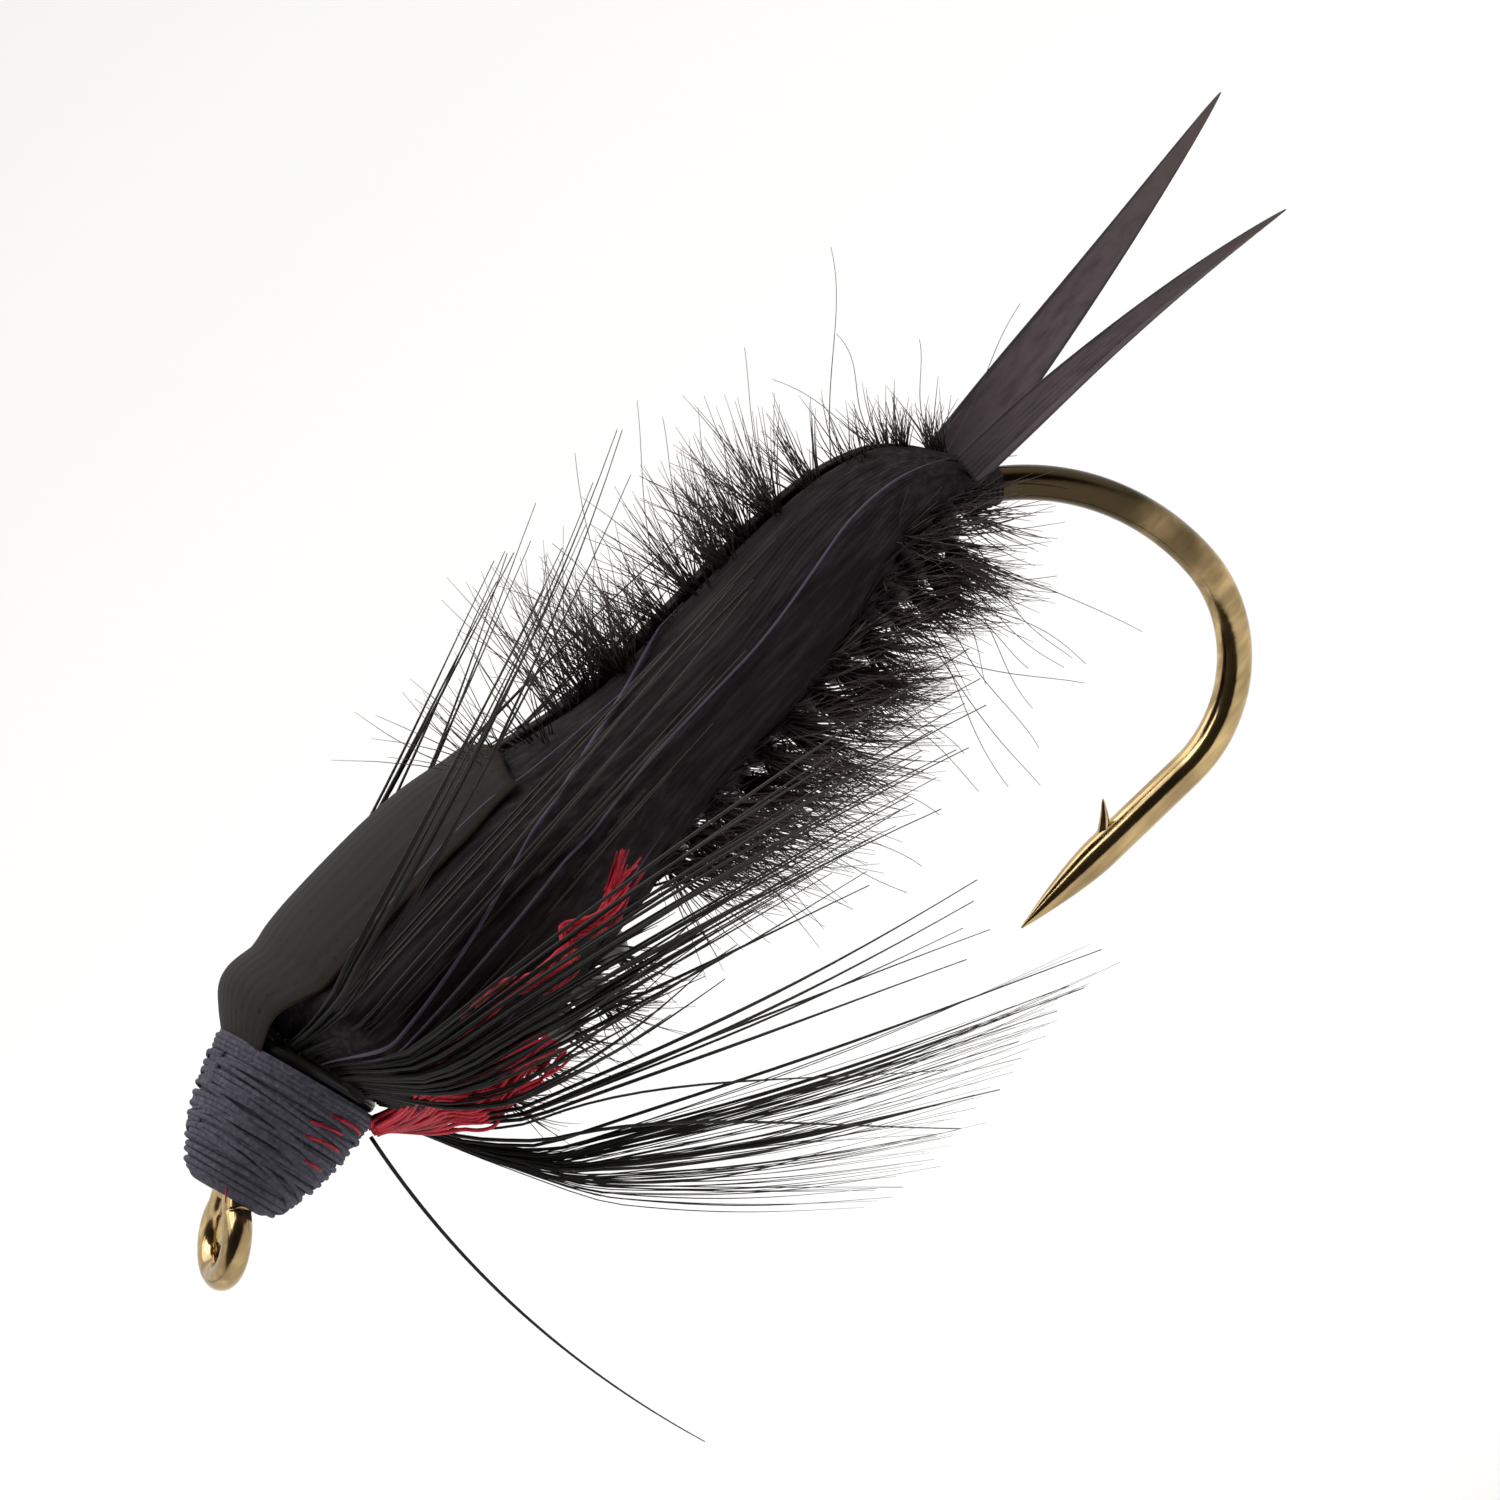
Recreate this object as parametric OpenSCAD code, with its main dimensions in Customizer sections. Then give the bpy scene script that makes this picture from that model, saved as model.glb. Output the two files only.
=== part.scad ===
// Tied fishing fly on a long-shank hook: herl body, quill wing slips, wing case, forked
// biot tail, swept-back hackle, floss throat and a wound thread head. Millimetres.
// X runs along the shank from the eye to the bend, Z towards the back of the fly and Y
// across it. The fly's left side is -Y. The origin is the centre of the hook's eye.

/* [Hook] */
// Diameter of the hook wire
wire_d = 0.72; // [0.6:0.02:0.84]
// Distance from the eye to the start of the bend
shank_l = 18.2; // [15:0.1:22]
// Radius of the upper part of the bend
upper_bend_r = 5.5; // [4.6:0.1:6.6]
// Radius of the lower part of the bend
lower_bend_r = 2.95; // [2.4:0.05:3.6]
// Length from the end of the bend to the tip of the point
spear_l = 4.7; // [4:0.1:5.7]
// Angle by which the spear rises towards the shank
spear_rise = 3; // [0:0.5:5]
// Length of the tapered needle point
point_l = 2.2; // [1.6:0.1:2.4]
// Length of the barb
barb_l = 0.95; // [0.7:0.05:1.15]
// Distance from the tip of the point to the barb
barb_back = 2.6; // [2.5:0.1:3.1]

/* [Hook eye] */
// Outer diameter of the eye ring
eye_d = 2.1; // [1.9:0.05:2.4]
// Diameter of the wire around the eye
eye_wire_d = 0.6; // [0.5:0.02:0.66]
// Diameter of the hole through the eye
eye_hole_d = 1; // [0.95:0.01:1.2]
// Angle by which the eye is turned down from the shank
eye_angle = 38; // [32:1:44]

/* [Thread] */
// Thickness of the layer of base thread on the shank
base_thread_t = 0.07; // [0.05:0.01:0.1]
// Diameter of the head thread
thread_d = 0.16; // [0.12:0.01:0.2]
// Length of the thread head
head_l = 2.8; // [2.3:0.1:3.2]
// Diameter of the head at its front
head_front_d = 1.5; // [1.3:0.05:1.8]
// Diameter of the head at its rear
head_rear_d = 3.6; // [3:0.1:3.9]
// Angle by which the head leans towards the back
head_lean = 14.5; // [12:0.5:17]
// Turns in the whip finish
whip_turns = 5; // [3:1:6]
// Length of the thread wraps that bind the tail
tail_thread_l = 0.8; // [0.6:0.1:1]
// Thickness of the thread wraps that bind the tail
tail_thread_t = 0.2; // [0.16:0.02:0.24]

/* [Body] */
// Diameter of the wound thorax
thorax_d = 5.8; // [5.2:0.1:7]
// Distance from the eye to the rear of the thorax
thorax_end = 10; // [9:0.1:11]
// Height of the thorax axis above the shank
thorax_lift = 0.1; // [0:0.05:0.45]
// Diameter of the wound abdomen
abdomen_d = 3.7; // [3.1:0.1:4.4]
// Distance that the abdomen runs on round the bend, past the end of the shank
abdomen_past = 3.1; // [2:0.1:4]
// Width of a wound herl strand in the thorax
thorax_strand_w = 0.9; // [0.8:0.05:1.1]
// Width of a wound herl strand in the abdomen
abdomen_strand_w = 0.75; // [0.65:0.05:0.9]
// Diameter of the yarn underbody in the thorax
thorax_core_d = 3.6; // [3:0.1:4.2]
// Diameter of the yarn underbody in the abdomen
abdomen_core_d = 2.1; // [1.8:0.1:2.5]

/* [Quill and biots] */
// Thickness of the wing slips and the wing case
quill_t = 0.1; // [0.08:0.01:0.12]
// Angle round the body from the back to the lower edge of each wing slip
slip_reach = 115; // [95:1:120]
// Angle round the body from the back to each edge of the wing case
case_reach = 42; // [36:1:44]
// Distance from the eye to the trimmed end of the wing case
case_end = 10.4; // [9.6:0.1:11]
// Length of the left tail biot
biot_left_l = 8.4; // [7:0.1:10]
// Length of the right tail biot
biot_right_l = 10.7; // [8.5:0.1:11]
// Width of a tail biot near its base
biot_w = 1.1; // [0.9:0.05:1.4]
// Thickness of a tail biot
biot_t = 0.14; // [0.1:0.01:0.2]
// Angle between each tail biot and the hook's plane
biot_splay = 17; // [14:1:24]

/* [Hackle and throat] */
// Diameter of a hackle barb at its root
barb_d = 0.11; // [0.08:0.01:0.13]
// Diameter of the wound hackle stem
stem_d = 0.26; // [0.2:0.02:0.3]
// Diameter of each turn of the hackle stem
stem_ring_d = 3; // [2.9:0.1:3.2]
// Length of the stray barb under the head
stray_l = 9.5; // [8:0.1:10.5]
// Diameter of a strand of the throat floss
floss_d = 0.26; // [0.2:0.02:0.3]
// Length of the throat floss
floss_l = 6.6; // [5:0.1:7.6]

/* [Hidden] */
// Segments round an exact circle
fine = 48;
// Clearance between pieces that lie on each other
gap = 0.02;
wire_r = wire_d / 2;
// Difference in radius between stretches of wire that run into each other
slimming = 0.006;
// Radius of the eye ring measured to the middle of its wire
eye_r = (eye_d - eye_wire_d) / 2;
// The shank meets the eye ring at the ring's rear
shank_start = eye_r * cos(eye_angle);
shank_z = eye_r * sin(eye_angle);
bend_z = shank_z - upper_bend_r;
lower_bend_x = shank_l + upper_bend_r - lower_bend_r;
base_r = wire_r + base_thread_t;
head_start = [shank_start, shank_z + 0.12];
head_axis = [cos(head_lean), sin(head_lean)];
head_rear = head_start + head_l * head_axis;
head_lift = head_rear[1] - shank_z - thorax_lift;
thread_pitch = thread_d * 1.25;
// The thorax starts behind the head and the hackle stem
thorax_start = head_rear[0] + 1.25;
abdomen_end = shank_l + abdomen_past;
// The abdomen tapers and the wing slips narrow over the rear of the body
taper_start = abdomen_end - 7.3;
slip_taper_start = abdomen_end - 6.3;
slip_taper_l = 6;
thorax_mid = (head_rear[0] + thorax_end) / 2;
thorax_half = (thorax_end - head_rear[0]) / 2 + 0.35;
// Loss of radius from the middle of the thorax to its ends
thorax_fall = 1.15;
// Radius of the bound butts of the wing slips behind the head
butt_r = 1.2;
// Length over which the thorax blends into the abdomen
waist_l = 1.2;
slip_r_gap = gap + quill_t / 2;
case_r_gap = 2 * quill_t;
floss_r_gap = quill_t + 2 * gap + floss_d / 2;
// The stem clears the base thread under the head, whatever the head's length and lean
stem_ring_r = max(stem_ring_d / 2,
    (head_rear[1] - shank_z + base_r + gap + stem_d / 2) / cos(head_lean));
barb_rings = 7;

function lerp(a, b, t) = a + (b - a) * t;
function ease(t) = let (u = min(1, max(0, t))) u * u * (3 - 2 * u);
function bezier(a, b, c, t) = (1 - t) * (1 - t) * a + 2 * t * (1 - t) * b + t * t * c;

// Radius of the thorax: a barrel that falls off steeply towards its ends
function thorax_r(s) = thorax_d / 2 - thorax_fall * pow((s - thorax_mid) / thorax_half, 4);
// Radius of the abdomen: even, then tapering where the wire starts to bend
function abdomen_r(s) =
    abdomen_d / 2 * (1 - 0.5 * pow(max(0, s - taper_start) / (abdomen_end - taper_start), 4));
// Radius of the wound body at a distance s along the hook
function skin(s) = s < thorax_start
    ? lerp(butt_r, thorax_r(thorax_start), ease((s - head_rear[0]) / 1.25))
    : lerp(thorax_r(min(s, thorax_end)), abdomen_r(s), ease((s - thorax_end + 0.6) / waist_l));
// Radius of the wing case, which is pulled over the thorax from the head
function case_r(s) = lerp(head_rear_d / 2 - 0.06, skin(max(s, thorax_start)) + case_r_gap,
    ease((s - head_rear[0] + 0.35) / 1.3));

// Angle turned by the wire at a distance s along the hook
function turn(s) = max(0, s - shank_l) / upper_bend_r * 180 / PI;
function wire_point(s) = s < shank_l
    ? [s, 0, shank_z]
    : [shank_l + upper_bend_r * sin(turn(s)), 0, bend_z + upper_bend_r * cos(turn(s))];
function along(s) = [cos(turn(s)), 0, -sin(turn(s))];
function outward(s) = [sin(turn(s)), 0, cos(turn(s))];
// The body's axis lies above the shank in the head and thorax and on it in the abdomen
function axis_lift(s) = head_lift * (1 - ease((s - head_rear[0]) / 1.5))
    + thorax_lift * (1 - ease((s - thorax_end + 0.6) / waist_l));
// Point at a radius and at an angle from the back, positive angles towards the left side
function round_body(s, r, angle) = wire_point(s) + axis_lift(s) * outward(s)
    + r * (cos(angle) * outward(s) - [0, sin(angle), 0]);

// Closed solid through rings that all have the same even number of points
module loft(rings) {
    n = len(rings[0]);
    last = (len(rings) - 1) * n;
    half = n / 2;
    polyhedron(
        points = [for (ring = rings) each ring],
        faces = [
            for (k = [0:half - 2]) [k, k + 1, n - 2 - k, n - 1 - k],
            for (i = [0:n:last - n], k = [0:n - 1], side = [0, 1])
                side == 0
                    ? [i + k, i + n + k, i + (k + 1) % n]
                    : [i + n + k, i + n + (k + 1) % n, i + (k + 1) % n],
            for (k = [0:half - 2])
                [last + k, last + n - 1 - k, last + n - 2 - k, last + k + 1]
        ],
        convexity = 6);
}

// Ring of points about a centre, in the plane of two radius vectors
function ring(centre, u, v, sides) =
    [for (k = [0:sides - 1]) centre + cos(360 * k / sides) * u + sin(360 * k / sides) * v];

// Thin tapering fibre along a list of points
module fibre(path, root_r, sides) {
    last = len(path) - 1;
    loft([for (i = [0:last])
        let (
            tangent = path[min(i + 1, last)] - path[max(i - 1, 0)],
            u = cross(tangent, [0, 1, 0.3]),
            v = cross(u, tangent),
            r = root_r * (1 - 0.85 * i / last)
        )
        ring(path[i], r * v / norm(v), r * u / norm(u), sides)]);
}

// Carries its children from the left side to the right one
module right_side() {
    mirror([0, 1, 0])
        children();
}

// Cylinder whose axis lies along X
module along_x(from, to, z, r) {
    translate([from, 0, z])
        rotate([0, 90, 0])
            cylinder(r = r, h = to - from, $fn = fine);
}

// Arc of round wire in the hook's plane, between two angles above +X
module wire_arc(centre_x, radius, from, to, r) {
    translate([centre_x, 0, bend_z])
        rotate([90, 0, 0])
            rotate([0, 0, from])
                rotate_extrude(angle = to - from, $fn = fine)
                    translate([radius, 0])
                        circle(r = r, $fn = fine);
}

module eye_ring(r) {
    rotate([0, -eye_angle, 0])
        rotate_extrude($fn = fine)
            translate([eye_r, 0])
                circle(r = r, $fn = fine);
}

// Carries its children to the point of the spear, with +Z back along the spear
module from_point() {
    translate([lower_bend_x - lower_bend_r * sin(spear_rise) - spear_l * cos(spear_rise), 0,
        bend_z - lower_bend_r * cos(spear_rise) + spear_l * sin(spear_rise)])
        rotate([0, 90 + spear_rise, 0])
            children();
}

// Stretches of wire in turn are full and a hair slim, so that each slim end lies inside
// the stretch that it runs into
module hook() {
    slim_r = wire_r - slimming;
    color("goldenrod")
    difference() {
        union() {
            eye_ring(eye_wire_d / 2);
            along_x(shank_start, shank_l + wire_r / 4, shank_z, slim_r);
            wire_arc(shank_l, upper_bend_r, 0, 90, wire_r);
            wire_arc(lower_bend_x, lower_bend_r, -91.5 - spear_rise, 1.5, slim_r);
            from_point()
                rotate_extrude($fn = fine)
                    polygon([[0, 0], [0.03, 0], [wire_r, point_l], [wire_r, spear_l],
                        [0, spear_l]]);
            from_point()
                translate([-wire_r / 3, 0, barb_back])
                    rotate([0, -45, 0])
                        cylinder(r1 = wire_r / 2, r2 = 0.03, h = barb_l, $fn = fine);
        }
        rotate([0, -eye_angle, 0])
            cylinder(d = eye_hole_d, h = eye_d, center = true, $fn = fine);
    }
}

module base_thread() {
    color("firebrick")
    difference() {
        along_x(shank_start + 0.9, shank_l, shank_z, base_r);
        along_x(shank_start, shank_l + 1, shank_z, wire_r + gap / 4);
    }
}

// Core radius at a fraction of its length: a barrel with slimmer ends
function core_r(d, t) = d / 2 * (0.68 + 0.32 * sin(180 * t));

module core(from, to, z, d) {
    translate([from, 0, z])
        rotate([0, 90, 0])
            rotate_extrude($fn = fine)
                polygon([[0, 0],
                    for (i = [0:8]) [core_r(d, i / 8), (to - from) * i / 8],
                    [0, to - from]]);
}

module underbody() {
    color("dimgray")
    difference() {
        union() {
            core(thorax_start, thorax_end, shank_z + thorax_lift, thorax_core_d);
            core(thorax_end, shank_l, shank_z, abdomen_core_d);
        }
        along_x(0, shank_l + 1, shank_z, base_r + gap / 4);
    }
}

// Strand of herl wound round the body, one of several side by side. Its section is an
// oval that stands from the core to the skin.
module wound_strand(from, to, strand, strands, strand_w, steps) {
    lead = strand_w * strands;
    turns = (to - from - strand_w * (strand + 1)) / lead;
    loft([for (i = [0:floor(turns * steps)])
        let (
            s = from + strand_w * (strand + 0.5) + lead * i / steps,
            angle = 360 * i / steps,
            inner = inner_r(s),
            outer = skin(s) - gap,
            middle = round_body(s, (inner + outer) / 2, angle),
            spoke = (round_body(s, 1, angle) - round_body(s, 0, angle)) * (outer - inner) / 2
        )
        ring(middle, spoke, along(s) * (strand_w / 2 - gap), 6)]);
}

// Radius on which the herl is wound
function inner_r(s) = s < thorax_end
    ? core_r(thorax_core_d, (s - thorax_start) / (thorax_end - thorax_start)) + 0.1
    : s < shank_l
        ? core_r(abdomen_core_d, (s - thorax_end) / (shank_l - thorax_end)) + 0.1
        : lerp(core_r(abdomen_core_d, 1) + 0.1, base_r + 0.05, ease((s - shank_l) / 2));

module abdomen_herl(strand) {
    color("#241a18")
        wound_strand(thorax_end, abdomen_end, strand, 3, abdomen_strand_w, 14);
}

module thorax_herl(strand) {
    color("#1f1716")
        wound_strand(thorax_start, thorax_end, strand, 2, thorax_strand_w, 18);
}

module tail_thread() {
    start = 90 - turn(abdomen_end + gap + tail_thread_l);
    end = 90 - turn(abdomen_end + gap);
    color("#1c1a1e")
    difference() {
        wire_arc(shank_l, upper_bend_r, start, end, wire_r + tail_thread_t);
        wire_arc(shank_l, upper_bend_r, start - 5, end + 5, wire_r + gap / 4);
    }
}

// Flat pointed blade that leaves the side of the tail wraps: width follows a half sine
// from a narrow butt, and the tip curls slightly outwards.
module tail_biot(length, rise) {
    root = wire_point(abdomen_end + 0.1) + [0, -wire_r - tail_thread_t - biot_t, 0.55];
    steps = 12;
    color("#3a3340")
    loft([for (i = [0:steps])
        let (
            t = i / steps,
            w = biot_w / 2 * (0.62 + 0.38 * sin(min(1, t / 0.3) * 90)) * pow(1 - t, 0.75) + 0.02,
            centre = root + length * [t * cos(biot_splay),
                -t * sin(biot_splay) * (0.55 + 0.45 * t), rise * t],
            lip = [0, -0.25 * w, w],
            face = biot_t / 2 * (1 - 0.6 * t) * [sin(biot_splay), cos(biot_splay), 0]
        )
        [centre - lip - face, centre - lip / 3 - face * 1.4, centre + lip / 3 - face * 1.4,
            centre + lip - face, centre + lip + face, centre + lip / 3 + face * 1.4,
            centre - lip / 3 + face * 1.4, centre - lip + face]]);
}

// Thin curved strip that lies on the body between two angles, as one closed solid
module strip(stations, across, radius, first, last) {
    loft([for (s = stations)
        [for (k = [0:across]) radius_point(s, radius, quill_t / 2, first, last, k / across),
            for (k = [across:-1:0])
                radius_point(s, radius, -quill_t / 2, first, last, k / across)]]);
}
function radius_point(s, radius, offset, first, last, t) = let (
        from = is_function(first) ? first(s) : first,
        to = is_function(last) ? last(s) : last
    )
    round_body(s, radius(s) + offset, lerp(from, to, t));

module wing_slip() {
    start = head_rear[0] + 0.2;
    steps = 24;
    lower = function (s) slip_reach * (1 - 0.3 * ease((s - slip_taper_start) / slip_taper_l));
    color("#17151a")
    strip([for (i = [0:steps]) lerp(start, abdomen_end, i / steps)], 7,
        function (s) skin(s) + slip_r_gap, 12, lower);
}

module wing_case() {
    start = head_rear[0] - 0.3;
    steps = 12;
    color("#3f4038")
    strip([for (i = [0:steps]) lerp(start, case_end, i / steps)], 7,
        function (s) case_r(s), -case_reach, case_reach);
}

module throat_floss() {
    start = head_rear[0] + 0.75;
    color("crimson")
    for (angle = [116, 123, 130])
        fibre([for (i = [0:7])
            let (s = start + (floss_l - (angle - 116) / 10) * i / 7)
            round_body(s, skin(s) + floss_r_gap, angle + 3 * sin(60 * i))],
            floss_d / 2, 6);
}

// The stem is wound round the butts of the wing slips, against the rear of the head
module hackle_stem() {
    centre = head_rear + (stem_d / 2 + gap) * head_axis;
    color("#2a2620")
    translate([centre[0], 0, centre[1]])
        rotate([0, 90 - head_lean, 0])
            rotate_extrude($fn = fine)
                translate([stem_ring_r, 0])
                    circle(d = stem_d, $fn = fine);
}

// Barb that rises over the shoulder of the thorax and sweeps back. At its tip it stands
// its lift further out than the thorax, and it has gone round the body by its drift.
module hackle_barb(angle, length, stand_off, lift, drift) {
    start = head_rear[0] + stem_d + 0.1 - stem_ring_r * sin(head_lean) * cos(angle);
    fibre([for (i = [0:barb_rings - 1])
        let (
            t = pow(i / (barb_rings - 1), 1.35),
            s = start + length * t,
            root = 0.1 * (1 - ease(t * 12)),
            r = skin(min(s, thorax_mid)) + stand_off + root + lift * pow(t, 1.25)
        )
        round_straight(s, r, angle + drift * pow(t, 1.5))],
        barb_d / 2, 4);
}
// As round_body, but about the straight line of the shank, where barbs don't follow the bend
function round_straight(s, r, angle) =
    [s, 0, shank_z + axis_lift(s)] + r * [0, -sin(angle), cos(angle)];

// Fan of barbs whose angle, length, lift and drift run evenly from the first barb's
// values to the last one's, with a small regular unevenness
module barb_fan(count, angles, lengths, stand_off, lifts, drifts) {
    color("#1d1c14")
    for (i = [0:count - 1])
        let (t = i / (count - 1), uneven = sin(137.5 * i))
        hackle_barb(lerp(angles[0], angles[1], t),
            lerp(lengths[0], lengths[1], t) + 1.1 * uneven,
            stand_off,
            lerp(lifts[0], lifts[1], t) + 0.35 * uneven,
            lerp(drifts[0], drifts[1], t));
}

module hackle_upper_left() {
    barb_fan(8, [50, 85], [13.2, 12], 0.38, [3.4, 1.6], [-48, -20]);
}
module hackle_upper_right() {
    barb_fan(8, [-52, -87], [12.4, 11.6], 0.38, [3, 1.8], [34, 12]);
}
module hackle_side_left() {
    barb_fan(10, [91, 144], [13.6, 12.4], 0.5, [1.6, 4], [14, -4]);
}
module hackle_side_right() {
    barb_fan(10, [-93, -146], [13, 12], 0.5, [1.6, 3.6], [-10, 4]);
}
module hackle_belly() {
    barb_fan(9, [152, 208], [13.6, 9.5], 0.4, [4.4, 5.4], [8, -10]);
}
module hackle_stray() {
    start = [head_rear[0] + 0.12, -0.35, -0.62];
    color("#1d1c14")
    fibre([for (i = [0:12])
        bezier(start, start + stray_l * [-0.09, -0.02, -0.49],
            start + stray_l * [0.055, -0.06, -0.99], i / 12)],
        barb_d / 2, 4);
}

// Radius of the head at a distance t from its front
function head_r(t) =
    lerp(head_front_d, head_rear_d, sqrt(min(1, max(0, t / head_l)))) / 2;

// Carries its children to the front of the head, with +Z along the head's axis
module on_head() {
    translate([head_start[0], 0, head_start[1]])
        rotate([0, 90 - head_lean, 0])
            children();
}

module head_thread() {
    turns = floor(head_l / thread_pitch);
    pitch = head_l / turns;
    color("#4b4d5c")
    difference() {
        on_head()
            rotate_extrude($fn = fine)
                polygon([[0, 0],
                    for (i = [0:turns - 1], crest = [0, 1])
                        [head_r((i + crest / 2) * pitch) - (1 - crest) * thread_d / 3,
                            (i + crest / 2) * pitch],
                    [head_rear_d / 2 - thread_d / 3, head_l],
                    [0, head_l]]);
        along_x(0, shank_l, shank_z, base_r + gap / 4);
        eye_ring(eye_wire_d / 2 + gap / 4);
    }
}

module whip_finish() {
    color("#565869")
    for (i = [0:whip_turns - 1])
        let (t = head_l * 0.35 + i * thread_pitch)
        on_head()
            translate([0, 0, t])
                rotate_extrude($fn = fine)
                    translate([head_r(t) + thread_d / 2 + gap, 0])
                        circle(d = thread_d, $fn = 16);
}

hook();
base_thread();
underbody();
tail_thread();
tail_biot(biot_left_l, 0.03);  // tail_biot_left
right_side() tail_biot(biot_right_l, 0.02);  // tail_biot_right
abdomen_herl(0);  // abdomen_herl_1
abdomen_herl(1);  // abdomen_herl_2
abdomen_herl(2);  // abdomen_herl_3
thorax_herl(0);  // thorax_herl_1
thorax_herl(1);  // thorax_herl_2
wing_slip();  // wing_slip_left
right_side() wing_slip();  // wing_slip_right
wing_case();
throat_floss();
hackle_stem();
hackle_upper_left();
hackle_upper_right();
hackle_side_left();
hackle_side_right();
hackle_belly();
hackle_stray();
head_thread();
whip_finish();
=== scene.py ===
"""A fly tied on a heavy down-eye hook: herl body, quill slips, biot tail and hackle."""

import math
from typing import NamedTuple

import bpy
import numpy as np
from bpy.props import FloatProperty, FloatVectorProperty, IntProperty, PointerProperty
from mathutils import Matrix, Vector


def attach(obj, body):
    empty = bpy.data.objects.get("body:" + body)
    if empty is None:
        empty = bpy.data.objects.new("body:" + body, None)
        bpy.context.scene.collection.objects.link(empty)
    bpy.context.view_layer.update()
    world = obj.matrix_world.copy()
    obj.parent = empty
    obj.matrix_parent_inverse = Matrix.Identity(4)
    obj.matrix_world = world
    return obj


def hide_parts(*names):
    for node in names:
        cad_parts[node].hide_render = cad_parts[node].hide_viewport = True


bl_info = {
    "name": "Tied Fly",
    "version": (1, 0, 0),
    "blender": (4, 5, 0),
    "location": "View3D > Sidebar > Tied Fly",
    "description": "Builds the herl, quill, hackle, thread and wire of a tied fly",
    "category": "Object",
}

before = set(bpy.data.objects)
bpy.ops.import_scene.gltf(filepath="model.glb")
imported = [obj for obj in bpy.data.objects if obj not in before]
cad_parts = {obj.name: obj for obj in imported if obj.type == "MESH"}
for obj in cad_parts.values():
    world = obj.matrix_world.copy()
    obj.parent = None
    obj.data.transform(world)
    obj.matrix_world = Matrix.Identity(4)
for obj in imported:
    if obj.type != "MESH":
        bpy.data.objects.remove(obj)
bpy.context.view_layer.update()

MM = 0.001
FULL_TURN = 2 * math.pi

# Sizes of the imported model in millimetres, with angles in radians
WIRE_R = 0.36
SHANK_L = 18.2
UPPER_BEND_R = 5.5
LOWER_BEND_R = 2.95
SPEAR_L = 4.7
SPEAR_RISE = math.radians(3)
POINT_L = 2.2
BARB_L = 0.95
BARB_BACK = 2.6
EYE_R = 0.75
EYE_WIRE_R = 0.3
EYE_ANGLE = math.radians(38)
BASE_R = 0.43
HEAD_L = 2.8
HEAD_FRONT_R = 0.75
HEAD_REAR_R = 1.8
HEAD_LEAN = math.radians(14.5)
THORAX_R = 2.9
THORAX_END = 10.0
THORAX_LIFT = 0.1
THORAX_FALL = 1.15
SHOULDER_L = 1.25
NECK_L = 1.5
ABDOMEN_R = 1.85
ABDOMEN_END = 21.3
TAPER_START = 14
THORAX_CORE_R = 1.8
ABDOMEN_CORE_R = 1.05
THORAX_STRAND_W = 0.9
ABDOMEN_STRAND_W = 0.75
BUTT_R = 1.2
WAIST_AHEAD = 0.6
WAIST_L = 1.2
BRIDGE_START = 8.0
BRIDGE_L = 5.5
SLIP_REACH = math.radians(115)
CASE_REACH = math.radians(42)
CASE_END = 10.4
QUILL_T = 0.1
GAP = 0.02
STEM_RING_R = 1.5
STEM_D = 0.26
STRAY_L = 9.5

# Places that follow from the sizes
SHANK_START = EYE_R * math.cos(EYE_ANGLE)
SHANK_Z = EYE_R * math.sin(EYE_ANGLE)
BEND_Z = SHANK_Z - UPPER_BEND_R
LOWER_BEND_X = SHANK_L + UPPER_BEND_R - LOWER_BEND_R
HEAD_START = np.array([SHANK_START, 0, SHANK_Z + 0.12])
HEAD_AXIS = np.array([math.cos(HEAD_LEAN), 0, math.sin(HEAD_LEAN)])
HEAD_UP = np.array([-math.sin(HEAD_LEAN), 0, math.cos(HEAD_LEAN)])
HEAD_REAR = HEAD_START + HEAD_L * HEAD_AXIS
HEAD_LIFT = HEAD_REAR[2] - SHANK_Z - THORAX_LIFT
THORAX_START = HEAD_REAR[0] + SHOULDER_L
THORAX_MID = (HEAD_REAR[0] + THORAX_END) / 2
THORAX_HALF = (THORAX_END - HEAD_REAR[0]) / 2 + 0.35
LEFT = np.array([0.0, -1.0, 0.0])
UP = np.array([0.0, 0.0, 1.0])


# ---------------------------------------------------------------- form of the fly

def lerp(a, b, t):
    """Value a fraction t of the way from a to b."""
    return a + (b - a) * t


def ease(t):
    """Smooth step: 0 up to t = 0, 1 from t = 1, with a level start and end between."""
    u = np.clip(t, 0, 1)
    return u * u * (3 - 2 * u)


def unit(vectors):
    """The vectors divided by their lengths."""
    return vectors / np.maximum(np.linalg.norm(vectors, axis=-1, keepdims=True), 1e-12)


def plane_vector(x, z):
    """Vectors in the hook's plane from their x and z parts."""
    return np.stack([x, np.zeros_like(x), z], axis=-1)


def spread(*values):
    """The values as float arrays of one shape."""
    return np.broadcast_arrays(*(np.asarray(value, float) for value in values))


def spoke(angle, up):
    """Unit vector at an angle from up, positive to the left."""
    return np.cos(angle)[..., None] * up + np.sin(angle)[..., None] * LEFT


def from_back(angle):
    """Size of the angle from the back, from 0 to half a turn."""
    return np.abs((angle + math.pi) % FULL_TURN - math.pi)


def waist(s):
    """Share of the way down from the thorax to the abdomen."""
    return ease((s - THORAX_END + WAIST_AHEAD) / WAIST_L)


def neck_lift(s):
    """Height that the head's lean adds to the body's axis."""
    return HEAD_LIFT * (1 - ease((s - HEAD_REAR[0]) / NECK_L))


def thorax_r(s):
    """Barrel radius: the middle radius less a fall that grows with the fourth power."""
    return THORAX_R - THORAX_FALL * ((s - THORAX_MID) / THORAX_HALF) ** 4


def abdomen_r(s):
    """Even radius that tapers with the fourth power over the rear part."""
    taper = np.maximum(0, s - TAPER_START) / (ABDOMEN_END - TAPER_START)
    return ABDOMEN_R * (1 - 0.5 * taper ** 4)


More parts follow.
